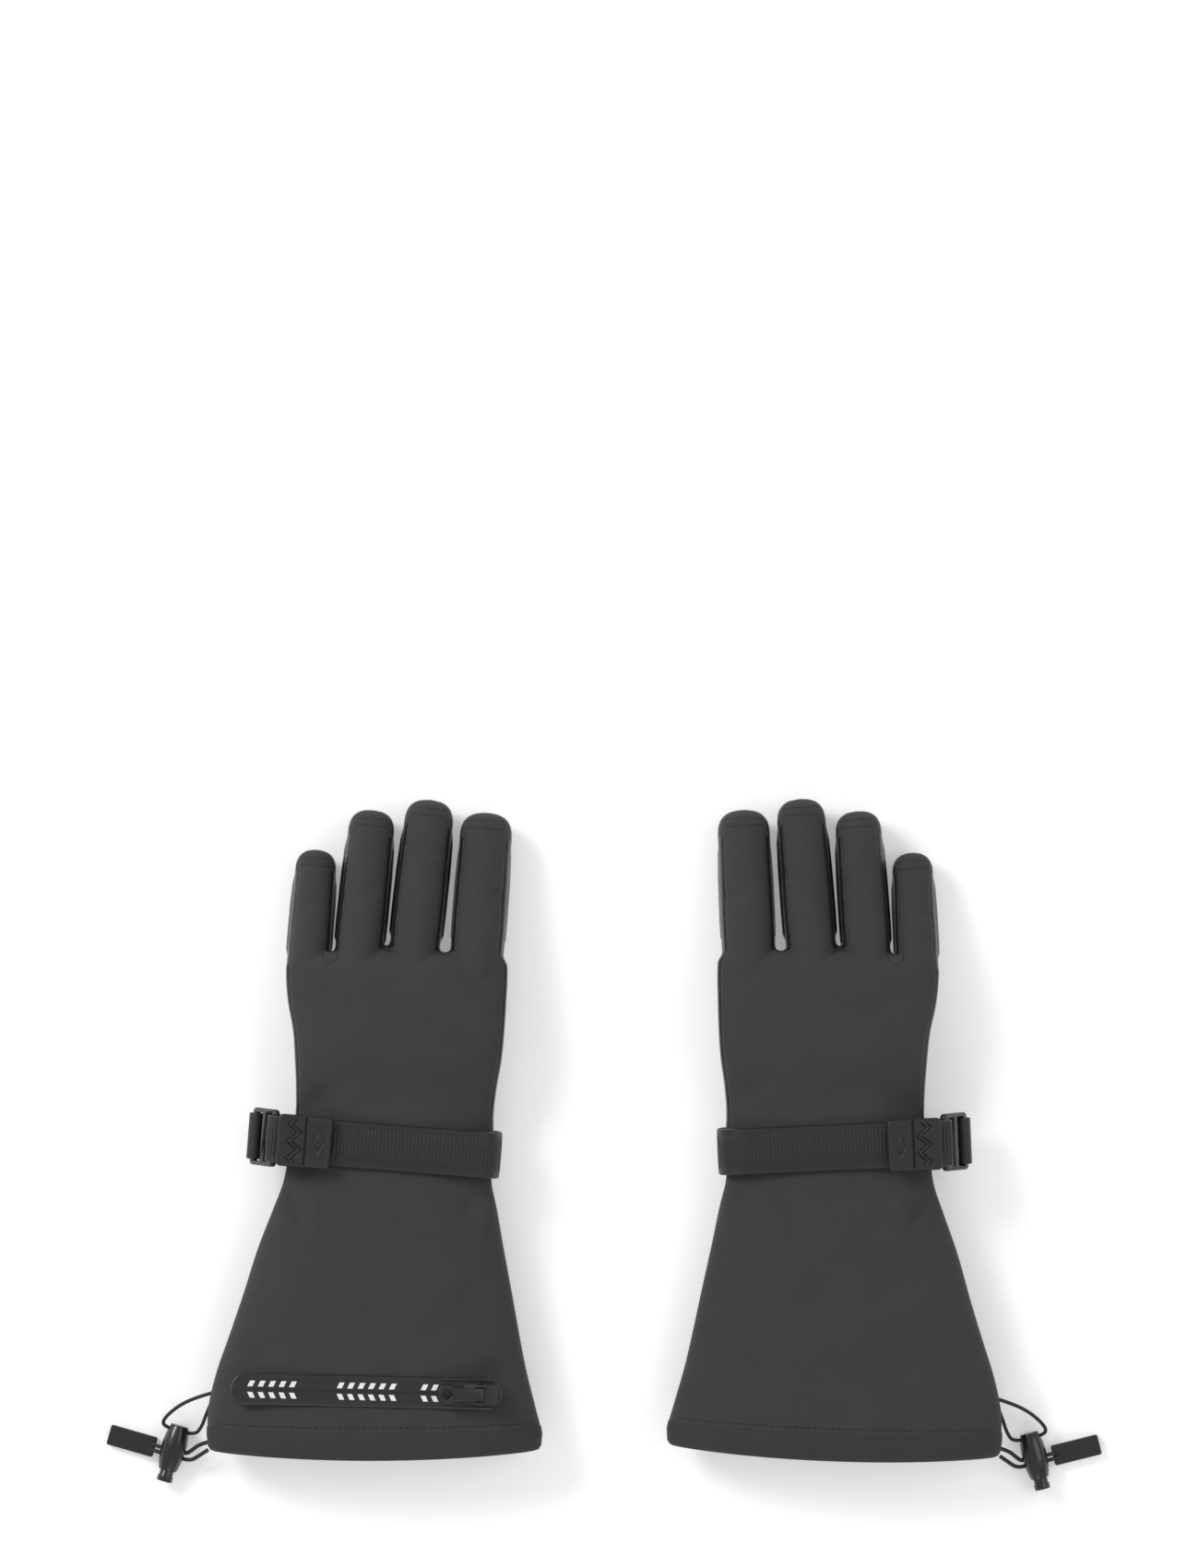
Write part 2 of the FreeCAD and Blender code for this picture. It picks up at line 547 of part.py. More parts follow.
def cylinder(name, radius, height, place):
    """A cylinder centred on its length along Y at a place."""
    solid = doc.addObject("Part::Cylinder", name)
    bind(solid, "Radius", radius)
    bind(solid, "Height", height)
    lying = PLACE(VECTOR(0, 0, 0), TURN(X_AXIS, 90))
    doc.recompute()
    solid.Placement = place * lying * PLACE(VECTOR(0, 0, -float(solid.Height) / 2), TURN())
    return solid


def box(name, length, width, height, place, middle=(True, True, False)):
    """A box with its length, width and height bound, centred where middle is true."""
    solid = doc.addObject("Part::Box", name)
    bind(solid, "Length", length)
    bind(solid, "Width", width)
    bind(solid, "Height", height)
    doc.recompute()
    extent = (float(solid.Length), float(solid.Width), float(solid.Height))
    back = VECTOR(*[-value / 2 if centred else 0 for value, centred in zip(extent, middle)])
    solid.Placement = place * PLACE(back, TURN())
    return solid


def fuse(name, shapes):
    result = doc.addObject("Part::MultiFuse", name)
    result.Shapes = shapes
    result.Refine = True
    return result


def cut(name, base, tool):
    result = doc.addObject("Part::Cut", name)
    result.Base = base
    result.Tool = tool
    return result


def fillet(name, base, radius, chosen):
    """Round the edges of base that chosen picks."""
    doc.recompute()
    result = doc.addObject("Part::Fillet", name)
    result.Base = base
    edges = enumerate(base.Shape.Edges, start=1)
    result.Edges = [(index, radius, radius) for index, edge in edges if chosen(edge)]
    return result


def buckle_bar(end):
    """The middle of a buckle bar in the strap's frame, for the lower (-1) or upper (1) end."""
    along = (size("buckle_long") - size("buckle_bar")) / 2 * end
    lean = math.radians(size("buckle_lean"))
    return VECTOR(size("buckle_x") + along * math.cos(lean), 0,
                  size("buckle_z") + along * math.sin(lean))


def mirrored(point, s):
    return VECTOR(s * point.x, point.y, point.z)


def wrist_strap(side):
    """The webbing ring round the wrist, with the loop that anchors the buckle."""
    s = SIDES[side]
    label = side + "_wrist_strap"
    body = new_body(label + "_ring")
    half = size("gather_half") + size("strap_side_slack")
    low = size("gather_low") - size("strap_slack")
    high = size("gather_high") + size("strap_slack")
    corner = size("gather_round") + size("strap_slack")
    thick = size("webbing_thick")
    for grow, word in ((thick, " + Dims.webbing_thick"), (0, "")):
        sketch = new_sketch(body, "Ring", "XZ_Plane")
        less = word.replace(" + ", " - ")
        words = ["-(Dims.gather_half + Dims.strap_side_slack%s)" % word,
                 "Dims.gather_half + Dims.strap_side_slack%s" % word,
                 "Dims.gather_low - Dims.strap_slack%s" % less,
                 "Dims.gather_high + Dims.strap_slack%s" % word,
                 "Dims.gather_round + Dims.strap_slack%s" % word]
        rounded_rectangle(sketch, -half - grow, half + grow, low - grow, high + grow,
                          corner + grow, words)
        if grow:
            pad(body, sketch, "Dims.webbing_width", midplane=True)
        else:
            pocket_across(body, sketch, "2 * Dims.webbing_width")
    bar = mirrored(buckle_bar(-1), s)
    loop = cylinder(label + "_loop", "Dims.loop_outer", "Dims.webbing_width",
                    PLACE(bar, TURN()))
    side_x = -(half + thick / 2)
    run = side_x - buckle_bar(-1).x
    drop = size("anchor_drop")
    angle = math.degrees(math.atan2(-drop, run))
    heading = angle if s > 0 else 180 - angle
    strip = box(label + "_strip", "%.6f" % math.hypot(run, drop), "Dims.webbing_width",
                "Dims.webbing_thick",
                PLACE(bar, TURN(Y_AXIS, -heading)), (False, True, True))
    hole = cylinder(label + "_hole", "Dims.loop_inner", "2 * Dims.webbing_width",
                    PLACE(bar, TURN()))
    strap = cut(label, fuse(label + "_joined", [body, loop, strip]), hole)
    return keep(strap, label, strap_frame(side))


def strap_buckle(side):
    """A ladder buckle: a frame with two windows and a middle bar."""
    s = SIDES[side]
    label = side + "_strap_buckle"
    upright = PLACE(VECTOR(0, 0, 0), TURN())
    plate = box(label + "_plate", "Dims.buckle_long", "Dims.buckle_wide", "Dims.buckle_thick",
                upright, (True, True, True))
    rounded = fillet(label + "_rounded", plate, size("buckle_corner"),
                     lambda edge: edge.BoundBox.ZLength > size("buckle_thick") / 2)
    window = (size("buckle_long") - 3 * size("buckle_bar")) / 2
    step = (window + size("buckle_bar")) / 2
    windows = [box(label + "_window", "(Dims.buckle_long - 3 * Dims.buckle_bar) / 2",
                   "Dims.buckle_slot_wide", "2 * Dims.buckle_thick",
                   PLACE(VECTOR(x, 0, 0), TURN()), (True, True, True)) for x in (-step, step)]
    frame = cut(label, rounded, fuse(label + "_windows", windows))
    middle = VECTOR(s * size("buckle_x"), 0, size("buckle_z"))
    lean = size("buckle_lean") if s > 0 else 180 - size("buckle_lean")
    return keep(frame, label, strap_frame(side) * PLACE(middle, TURN(Y_AXIS, -lean)))


def strap_top():
    return size("gather_high") + size("strap_slack") + size("webbing_thick")


def strap_tail(side):
    """The free end of the webbing: a loop on the upper bar, a riser and a flat run."""
    s = SIDES[side]
    label = side + "_strap_tail"
    bar = mirrored(buckle_bar(1), s)
    top = strap_top() + size("tail_lift") + size("tail_thick")
    loop = cylinder(label + "_loop", "Dims.loop_outer", "Dims.webbing_width", PLACE(bar, TURN()))
    riser_high = top - bar.z
    riser = box(label + "_riser", "Dims.tail_thick", "Dims.webbing_width",
                "%.6f" % riser_high, PLACE(bar, TURN()))
    start = abs(bar.x) + size("tail_thick") / 2
    end = abs(size("tab_start")) - size("tab_long") + 3
    run = box(label + "_run", "%.6f" % (start - end), "Dims.webbing_width", "Dims.tail_thick",
              PLACE(VECTOR(-s * (start + end) / 2, 0, top - size("tail_thick")), TURN()))
    hole = cylinder(label + "_hole", "Dims.loop_inner", "2 * Dims.webbing_width",
                    PLACE(bar, TURN()))
    tail = cut(label, fuse(label + "_joined", [loop, riser, run]), hole)
    return keep(tail, label, strap_frame(side))


def strap_tab(side):
    """The moulded grip on the end of the tail."""
    s = SIDES[side]
    label = side + "_strap_tab"
    block = box(label + "_block", "Dims.tab_long", "Dims.tab_wide", "Dims.tab_thick",
                PLACE(VECTOR(0, 0, 0), TURN()))
    rounded = fillet(label, block, size("tab_edge"), lambda edge: True)
    middle = s * (size("tab_start") + size("tab_long") / 2)
    height = strap_top() + size("tail_lift") + size("tail_thick")
    return keep(rounded, label, strap_frame(side) * PLACE(VECTOR(middle, 0, height), TURN()))


# ---------------------------------------------------------------- cords and cord lock

def arc_route(points, radii_name):
    """Straight runs joined by tangent arcs, each as large as its two runs allow."""
    edges = []
    here = points[0]
    radii = []
    for before, corner, after in zip(points, points[1:], points[2:]):
        back = (before - corner).normalize()
        on = (after - corner).normalize()
        turn = math.pi - back.getAngle(on)
        shorter = min((before - corner).Length, (after - corner).Length)
        radius = 0.45 * shorter / math.tan(turn / 2)
        trim = 0.45 * shorter
        start = corner + back * trim
        end = corner + on * trim
        middle_way = (back + on).normalize()
        centre = corner + middle_way * (radius / math.cos(turn / 2))
        middle = centre - middle_way * radius
        edges.append(Part.LineSegment(here, start).toShape())
        edges.append(Part.Arc(start, middle, end).toShape())
        here = end
        radii.append(round(radius, 1))
    edges.append(Part.LineSegment(here, points[-1]).toShape())
    print(radii_name, "radii", radii)
    return Part.Wire(edges)


def tube(points, thick, name):
    """A round tube along a route, checked against section times length."""
    path = arc_route(points, name)
    start = points[0]
    way = (points[1] - points[0]).normalize()
    ring = Part.Wire(Part.Circle(start, way, thick / 2).toShape())
    solid = path.makePipeShell([ring], True, False)
    expected = math.pi * (thick / 2) ** 2 * path.Length
    print(name, "length %.2f" % path.Length, "volume over section x length %.4f"
          % (solid.Volume / expected))
    return solid


# The drawcord's two legs and the tether: chosen points in the left glove's own frame.
DRAWCORD_LEGS = [
    [(-102.6, -183.2, 12.0), (-107.3, -184.4, 10.6), (-111.9, -188.2, 8.4),
     (-115.2, -190.1, 7.0), (-129.1, -186.0, 7.0), (-133.3, -184.8, 4.0)],
    [(-102.6, -187.4, 12.0), (-107.0, -190.3, 10.6), (-111.4, -193.2, 8.4),
     (-116.0, -192.9, 7.0), (-129.9, -188.8, 7.0), (-134.1, -187.6, 4.0)],
]
TETHER = [(-98.6, -155.6, 20.0), (-107.5, -158.2, 18.0), (-116.8, -162.4, 13.5),
          (-124.0, -168.0, 9.5), (-127.6, -172.6, 7.4), (-125.5, -175.5, 7.0),
          (-110.1, -180.0, 7.0), (-106.0, -175.0, 9.0), (-103.4, -167.6, 13.0),
          (-100.2, -160.6, 18.0)]


def side_route(points, s):
    return [VECTOR(s * x, y, z) for x, y, z in points]


def cord_feature(side, label, shape):
    feature = doc.addObject("Part::Feature", label)
    feature.Shape = shape
    return keep(feature, label, glove_frame(side))


def drawcord(side):
    legs = [tube(side_route(points, SIDES[side]), size("cord_thick"), side + " drawcord leg")
            for points in DRAWCORD_LEGS]
    return cord_feature(side, side + "_drawcord", Part.makeCompound(legs))


def tether(side):
    points = side_route(TETHER, SIDES[side])
    return cord_feature(side, side + "_tether", tube(points, size("tether_thick"),
                                                     side + " tether"))


def lock_barrel(side):
    """The cord lock's barrel: turned, bored for the plunger, slotted for cord and tether."""
    label = side + "_cord_lock_barrel"
    sketch = doc.addObject("Sketcher::SketchObject", label + "_profile")
    fat = size("lock_fat")
    slim = size("lock_slim")
    half = size("lock_long") / 2
    radius = (half ** 2 + (fat - slim) ** 2) / (2 * (fat - slim))
    spread = math.asin(half / radius)
    circle = Part.Circle(VECTOR(fat - radius, 0, 0), Z_AXIS, radius)
    sketch.addGeometry(Part.ArcOfCircle(circle, -spread, spread))
    sketch.addGeometry(Part.LineSegment(VECTOR(slim, half, 0), VECTOR(0, half, 0)))
    sketch.addGeometry(Part.LineSegment(VECTOR(0, half, 0), VECTOR(0, -half, 0)))
    sketch.addGeometry(Part.LineSegment(VECTOR(0, -half, 0), VECTOR(slim, -half, 0)))
    for index in range(4):
        sketch.addConstraint(Sketcher.Constraint("Coincident", index, 2, (index + 1) % 4, 1))
    for constraint in (("Horizontal", 1), ("Horizontal", 3), ("PointOnObject", 2, 1, -2),
                       ("PointOnObject", 2, 2, -2)):
        sketch.addConstraint(Sketcher.Constraint(*constraint))
    fix(sketch, "DistanceY", -1, 1, 1, 1, value=half, expression="Dims.lock_long / 2")
    fix(sketch, "DistanceY", -1, 1, 3, 1, value=-half, expression="-Dims.lock_long / 2")
    fix(sketch, "DistanceX", -1, 1, 1, 1, value=slim, expression="Dims.lock_slim")
    fix(sketch, "DistanceX", -1, 1, 3, 2, value=slim, expression="Dims.lock_slim")
    fix(sketch, "Radius", 0, value=radius,
        expression="((Dims.lock_long / 2)^2 + (Dims.lock_fat - Dims.lock_slim)^2)"
                   " / (2 * (Dims.lock_fat - Dims.lock_slim))")
    turned = doc.addObject("Part::Revolution", label + "_turned")
    turned.Source = sketch
    turned.Axis = Y_AXIS
    turned.Angle = 360
    turned.Solid = True
    deep = size("lock_long") - size("lock_floor")
    bore = cylinder(label + "_bore", "Dims.lock_bore", "Dims.lock_long - Dims.lock_floor + 2",
                    PLACE(VECTOR(0, -half + deep / 2 - 1, 0), TURN()))
    slot = box(label + "_slot", "4 * Dims.lock_fat", "Dims.lock_slot_long", "Dims.lock_slot_high",
               PLACE(VECTOR(0, size("cord_slot_y"), 0), TURN()), (True, True, True))
    eyelet = box(label + "_eyelet", "4 * Dims.lock_fat", "Dims.eyelet_long", "Dims.eyelet_high",
                 PLACE(VECTOR(0, half - size("eyelet_from_end"), 0), TURN()),
                 (True, True, True))
    barrel = cut(label, turned, fuse(label + "_tools", [bore, slot, eyelet]))
    return keep(barrel, label, lock_frame(side))


def plunger_inner_end():
    """How far up the barrel the plunger reaches when it is released."""
    return (size("lock_long") / 2 - size("lock_floor") - size("plunger_travel")
            - size("layer_gap"))


def lock_plunger(side):
    """The button and stem that grip the cords, with a window the cords pass through."""
    label = side + "_cord_lock_plunger"
    travel = size("plunger_travel")
    inner_end = plunger_inner_end()
    outer_end = -size("lock_long") / 2 - size("plunger_out")
    stem = cylinder(label + "_stem", "Dims.plunger_thick", "%.6f" % (inner_end - outer_end),
                    PLACE(VECTOR(0, (inner_end + outer_end) / 2, 0), TURN()))
    cap_long = size("plunger_out") - travel - size("plunger_gap")
    cap = cylinder(label + "_cap", "Dims.plunger_cap",
                   "Dims.plunger_out - Dims.plunger_travel - Dims.plunger_gap",
                   PLACE(VECTOR(0, outer_end + cap_long / 2, 0), TURN()))
    window = box(label + "_window", "4 * Dims.lock_fat",
                 "Dims.lock_slot_long + Dims.plunger_travel", "Dims.lock_slot_high",
                 PLACE(VECTOR(0, size("cord_slot_y") - travel / 2, 0), TURN()),
                 (True, True, True))
    recess = cylinder(label + "_recess", "Dims.spring_recess", "2 * Dims.recess_deep",
                      PLACE(VECTOR(0, inner_end, 0), TURN()))
    plunger = cut(label, fuse(label + "_joined", [stem, cap]),
                  fuse(label + "_tools", [window, recess]))
    return keep(plunger, label, lock_frame(side))


def lock_spring(side):
    """The coil spring behind the plunger, drawn as separate turns of wire."""
    label = side + "_cord_lock_spring"
    start = (plunger_inner_end() - size("recess_deep") + size("plunger_travel")
             + size("layer_gap") / 2)
    turns = []
    for index in range(3):
        ring = doc.addObject("Part::Torus", label + "_turn")
        bind(ring, "Radius1", "Dims.spring_radius")
        bind(ring, "Radius2", "Dims.spring_wire / 2")
        middle = start + size("spring_wire") / 2 + index * size("spring_pitch")
        ring.Placement = PLACE(VECTOR(0, middle, 0), TURN(X_AXIS, 90))
        turns.append(ring)
    spring = doc.addObject("Part::Compound", label)
    spring.Links = turns
    return keep(spring, label, lock_frame(side))


def pull_tab(side):
    """The folded tab that joins the two ends of the drawcord."""
    label = side + "_cord_pull_tab"
    s = SIDES[side]
    block = box(label + "_block", "Dims.pull_long", "Dims.pull_wide", "Dims.pull_thick",
                PLACE(VECTOR(0, 0, 0), TURN()), (True, True, True))
    rounded = fillet(label, block, size("pull_edge"), lambda edge: True)
    reach = size("lock_fat") + size("pull_gap") + size("pull_long") / 2
    middle = VECTOR(-s * reach, size("cord_slot_y"),
                    size("pull_thick") / 2 + 0.1 - size("lock_z"))
    return keep(rounded, label, lock_frame(side) * PLACE(middle, TURN()))


# ---------------------------------------------------------------- zip pocket

def zip_tape():
    """The bonded zip: a round-ended tape with the coil along its middle."""
    label = "left_zip_tape"
    plate = box(label + "_plate", "Dims.zip_long - Dims.zip_wide", "Dims.zip_wide",
                "Dims.zip_thick", PLACE(VECTOR(0, 0, 0), TURN()))
    reach = (size("zip_long") - size("zip_wide")) / 2
    ends = []
    for x in (-reach, reach):
        end = doc.addObject("Part::Cylinder", label + "_end")
        bind(end, "Radius", "Dims.zip_wide / 2")
        bind(end, "Height", "Dims.zip_thick")
        end.Placement = PLACE(VECTOR(x, 0, 0), TURN())
        ends.append(end)
    coil = box(label + "_coil", "Dims.zip_long - Dims.zip_wide", "Dims.coil_wide",
               "Dims.coil_high + Dims.zip_thick", PLACE(VECTOR(0, 0, 0), TURN()))
    joined = fuse(label, [plate, coil] + ends)
    return keep(joined, label, zip_frame() * PLACE(VECTOR(0, 0, size("layer_gap")), TURN()))


def slider_middle():
    """The slider's middle along the zip, closed at the thumb-side end."""
    return size("zip_long") / 2 - size("slider_from_end") - size("slider_long") / 2


def slider_floor():
    return (size("layer_gap") + size("zip_thick") + size("coil_high") + size("slider_gap"))


def zip_slider():
    label = "left_zip_slider"
    middle = slider_middle()
    base = box(label + "_base", "Dims.slider_long", "Dims.slider_wide", "Dims.slider_high",
               PLACE(VECTOR(0, 0, 0), TURN()))
    reach = (size("slider_wide") - size("cheek_thick")) / 2
    cheeks = [box(label + "_cheek", "Dims.cheek_long", "Dims.cheek_thick",
                  "Dims.slider_high + Dims.cheek_high", PLACE(VECTOR(0, y, 0), TURN()))
              for y in (-reach, reach)]
    pin = cylinder(label + "_pin", "Dims.pin_thick / 2", "Dims.slider_wide",
                   PLACE(VECTOR(0, 0, pull_height() - slider_floor()), TURN()))
    joined = fuse(label, [base, pin] + cheeks)
    return keep(joined, label, zip_frame() * PLACE(VECTOR(middle, 0, slider_floor()), TURN()))


def pull_height():
    """The pull's hinge height above the gauntlet."""
    return slider_floor() + size("slider_high") + size("cheek_high") - size("pull_tab_eye") / 2


def zip_pull():
    """The pull: an eye on the slider's pin, a flat stem and a round finger ring."""
    label = "left_zip_pull"
    eye = cylinder(label + "_eye", "Dims.pull_tab_eye / 2", "Dims.zip_pull_wide",
                   PLACE(VECTOR(0, 0, 0), TURN()))
    hole = cylinder(label + "_hole", "Dims.pin_thick / 2 + 0.2", "2 * Dims.zip_pull_wide",
                    PLACE(VECTOR(0, 0, 0), TURN()))
    stem_long = size("zip_pull_long") - size("zip_ring") / 2
    stem = box(label + "_stem", "%.6f" % stem_long, "Dims.zip_pull_wide", "Dims.zip_pull_thick",
               PLACE(VECTOR(-stem_long / 2, 0, 0), TURN()), (True, True, True))
    ring = doc.addObject("Part::Cylinder", label + "_ring")
    ring_hole = doc.addObject("Part::Cylinder", label + "_ring_hole")
    for disc, radius, rise in ((ring, "Dims.zip_ring / 2", 1), (ring_hole, "Dims.zip_ring_hole / 2", 3)):
        bind(disc, "Radius", radius)
        bind(disc, "Height", "%d * Dims.zip_pull_thick" % rise)
        low = -rise * size("zip_pull_thick") / 2
        disc.Placement = PLACE(VECTOR(-stem_long, 0, low), TURN())
    pull = cut(label, fuse(label + "_joined", [eye, stem, ring]),
               fuse(label + "_holes", [hole, ring_hole]))
    return keep(pull, label,
                zip_frame() * PLACE(VECTOR(slider_middle(), 0, pull_height()), TURN()))


# ---------------------------------------------------------------- the pair

def build_glove(side):
    shell = ("shell_wall",)
    lining = ("shell_wall", "layer_gap")
    hand_layer(side, side + "_back_shell", (), shell, removed="lower")
    hand_layer(side, side + "_palm_shell", (), shell, removed="upper")
    hand_layer(side, side + "_hand_lining", lining, lining + ("hand_padding",))
    gauntlet_layer(side, side + "_gauntlet_shell", (), shell)
    gauntlet_layer(side, side + "_gauntlet_lining", lining, lining + ("cuff_padding",))
    hem_band(side)
    for finger in FINGERS:
        name = "%s_%s_finger" % (side, finger)
        finger_layer(side, finger, name + "_shell", (), shell)
        finger_layer(side, finger, name + "_lining", lining, lining + ("finger_padding",))
    thumb_shell(side)
    thumb_lining(side)
    wrist_strap(side)
    strap_buckle(side)
    strap_tail(side)
    strap_tab(side)
    drawcord(side)
    tether(side)
    lock_barrel(side)
    lock_plunger(side)
    lock_spring(side)
    pull_tab(side)


for glove in SIDES:
    build_glove(glove)
zip_tape()
zip_slider()
zip_pull()
doc.recompute()

for item in doc.Objects:
    if "Invalid" in item.State or "Error" in item.State:
        raise RuntimeError("failed feature %s: %s" % (item.Label, item.State))
os.makedirs("parts", exist_ok=True)
for item in SUBPARTS:
    if item.Shape.isNull() or not item.Shape.isValid():
        raise RuntimeError("bad shape in " + item.Label)
for item in SUBPARTS:
    item.Shape.exportStep(os.path.join("parts", item.Label + ".step"))
print("wrote", len(SUBPARTS), "nodes")
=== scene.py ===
import json
import math

import bmesh
import bpy
import numpy as np
from mathutils import Matrix, Vector
from mathutils.bvhtree import BVHTree


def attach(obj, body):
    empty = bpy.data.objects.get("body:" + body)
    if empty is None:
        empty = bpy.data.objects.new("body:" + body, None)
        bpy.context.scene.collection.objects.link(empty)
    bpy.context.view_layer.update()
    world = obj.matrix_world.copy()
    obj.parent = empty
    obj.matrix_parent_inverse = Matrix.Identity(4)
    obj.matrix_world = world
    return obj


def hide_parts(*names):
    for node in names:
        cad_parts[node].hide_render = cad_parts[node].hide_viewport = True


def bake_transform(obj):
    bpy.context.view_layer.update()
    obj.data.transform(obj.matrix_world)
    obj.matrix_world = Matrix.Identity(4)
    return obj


# A pair of insulated gauntlet gloves lying palm down. Shapes are drawn in millimetres in
# the left glove's own frame: origin under the wrist crease, +Y to the fingertips, thumb
# side on +X. The right glove is the mirror image of the left one.

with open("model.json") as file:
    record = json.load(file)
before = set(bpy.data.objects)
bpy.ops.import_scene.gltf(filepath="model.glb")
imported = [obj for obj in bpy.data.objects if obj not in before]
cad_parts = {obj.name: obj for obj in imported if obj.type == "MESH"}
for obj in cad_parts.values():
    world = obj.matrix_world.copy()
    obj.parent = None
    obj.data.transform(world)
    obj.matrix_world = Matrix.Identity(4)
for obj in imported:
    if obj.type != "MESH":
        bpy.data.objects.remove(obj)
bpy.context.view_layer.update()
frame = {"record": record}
JOINTS = {joint["name"]: joint for joint in frame["record"]["behaviour"]["joints"]}
MM = 0.001
SIDES = {"left": 1, "right": -1}
FINGERS = ("little", "ring", "middle", "index")

# ---------------------------------------------------------------- sizes, millimetres

# place along the glove: little-finger side, thumb side, underside, top
BODY_STATIONS = [
    (-191, -101.5, 77.0, 0.6, 42.5), (-180, -102.4, 77.6, 0.2, 43.5),
    (-165, -102.0, 74.6, 0, 44), (-142, -96.8, 69.2, 0, 43.6), (-127, -91.5, 66.3, 0, 43),
    (-102, -83.0, 61.8, 0, 42), (-77, -75.0, 57.2, 1.5, 41.2), (-56, -66.8, 53.6, 4.5, 40.4),
    (-42, -61.5, 50.8, 7.5, 39.4), (-23, -58.4, 52.2, 8, 39.6), (-6, -55.0, 52.0, 8, 40),
    (8, -54.6, 53.6, 10.5, 42.5), (24, -55.0, 56.4, 16.5, 47), (40, -56.0, 58.0, 17.6, 48.3),
    (56, -58.8, 59.0, 17.2, 47.4), (68, -59.8, 59.6, 16, 45.4), (76, -59.6, 59.4, 16.6, 43.8),
    (80.5, -58.6, 58.2, 19, 41),
]
CUFF_WALL = 4.4
CUFF_END = -21.0
SECTION_POWER = 2.7
# knuckle x and y, radius, knuckle to tip centre, lean to the thumb side in degrees
FINGER_SIZES = {
    "little": (-48.9, 66, 12.4, 60.8, 4.3), "ring": (-21.7, 72, 14, 74.1, 5.6),
    "middle": (8.5, 75, 14.8, 75.7, 6.1), "index": (42.3, 72, 15, 71.3, 4.2),
}
# slimmer than the solids, so that neighbouring skins stay apart
FINGER_WIDTH = {"little": 0.93, "ring": 0.93, "middle": 0.93, "index": 0.98}
KNUCKLE_HEIGHT = 30.0
# where each gap between two fingers ends
CROTCHES = ((-36.0, 77.5), (-6.5, 85.5), (25.5, 82.0))
WEB_REACH = 10
WEB_HALF = 6
WEB_HEIGHT = 27.5
GUSSET_DROP = 2.5
GUSSET_FLAT = 0.62
TIP_CAP = 6.5
FINGER_SPLIT = 12.0
FINGER_BLEND_END = 26.0
PANEL_HEIGHT = 0.55
THUMB_AT = (40.0, 26.5)
THUMB_FOLD = 60.0
THUMB_HALF = 14.5
THUMB_THICK = 14.5
THUMB_REACH = 36.0
HAND_SPLIT = -18.0
HAND_BLEND = (-16.0, 14.0)
HEM_SEAM = -175.0
HEM_EDGE = -191.2
GRAIN = 1.1
STRAP_AT = (-3.0, -23.0)
STRAP_TILT = 4.5
WEBBING = 25.0
WEBBING_THICK = 1.8
STRAP_HALF = 57.1
STRAP_LOW = 7.7
STRAP_HIGH = 40.3
STRAP_CORNER = 14.3
RIB_PITCH = 2.0
LOWER_BAR = (-73.9, 22.5)
UPPER_BAR = (-63.1, 35.3)
TAB = (-46.5, 44.3, 29.0, 28.0, 3.8)
ZIP_AT = (-16.3, -153.6)
ZIP_TILT = -1.3
ZIP_LONG = 145.5
ZIP_WIDE = 17.0
# soft creases: two ends, half width and height
CREASES = [
    (-60, -44, -50, -66, 4, -1.2), (-48, -42, -41, -60, 5, 0.8), (44, -42, 36, -64, 5, -0.8),
    (52, -44, 47, -74, 4, 0.7), (-50, -2, -30, 12, 6, -0.9), (46, 0, 28, 14, 6, -0.9),
    (-10, 4, 8, 3, 6, -0.5), (-78, -92, -30, -112, 9, 0.7), (54, -92, 18, -122, 9, -0.8),
    (-34, -76, 12, -92, 10, -0.6), (-90, -134, -52, -126, 8, -0.7), (30, -142, 60, -128, 8, 0.7),
    (-40, 34, 10, 26, 10, 0.7), (12, 52, 44, 40, 9, -0.7), (-44, 58, -14, 52, 8, -0.6),
    (-60, 106, -44, 104, 4, -0.6), (-20, 118, -6, 117, 4, -0.5), (12, 124, 28, 123, 4, -0.5),
    (46, 112, 60, 111, 4, -0.6),
]

DRAWCORD_LEGS = [
    [(-102.6, -183.2, 12.0), (-107.3, -184.4, 10.6), (-111.9, -188.2, 8.4),
     (-115.2, -190.1, 7.0), (-129.1, -186.0, 7.0), (-133.3, -184.8, 4.0)],
    [(-102.6, -187.4, 12.0), (-107.0, -190.3, 10.6), (-111.4, -193.2, 8.4),
     (-116.0, -192.9, 7.0), (-129.9, -188.8, 7.0), (-134.1, -187.6, 4.0)],
]
TETHER = [(-98.6, -155.6, 20.0), (-107.5, -158.2, 18.0), (-116.8, -162.4, 13.5),
          (-124.0, -168.0, 9.5), (-127.6, -172.6, 7.4), (-125.5, -175.5, 7.0),
          (-110.1, -180.0, 7.0), (-106.0, -175.0, 9.0), (-103.4, -167.6, 13.0),
          (-100.2, -160.6, 18.0)]


# ---------------------------------------------------------------- places

def glove_matrix(side):
    """The glove's own frame in the pair, from the joint at its wrist."""
    joint = JOINTS[side + "_wrist_bend"]
    x_axis = -Vector(joint["axis"])
    y_axis = Vector((0, 0, 1)).cross(x_axis)
    at = joint["pos_m"]
    matrix = Matrix((x_axis, y_axis, Vector((0, 0, 1)))).transposed().to_4x4()
    matrix.translation = (at[0], at[1], 0)
    return matrix


def to_pair(points, side):
    """Points of the left glove's frame, in millimetres, placed in the pair in metres."""
    moved = np.array(points, float).reshape(-1, 3) * (SIDES[side], 1, 1) * MM
    matrix = np.array(glove_matrix(side))
    return moved @ matrix[:3, :3].T + matrix[:3, 3]


def at(point, side):
    return Vector(to_pair([point], side)[0])


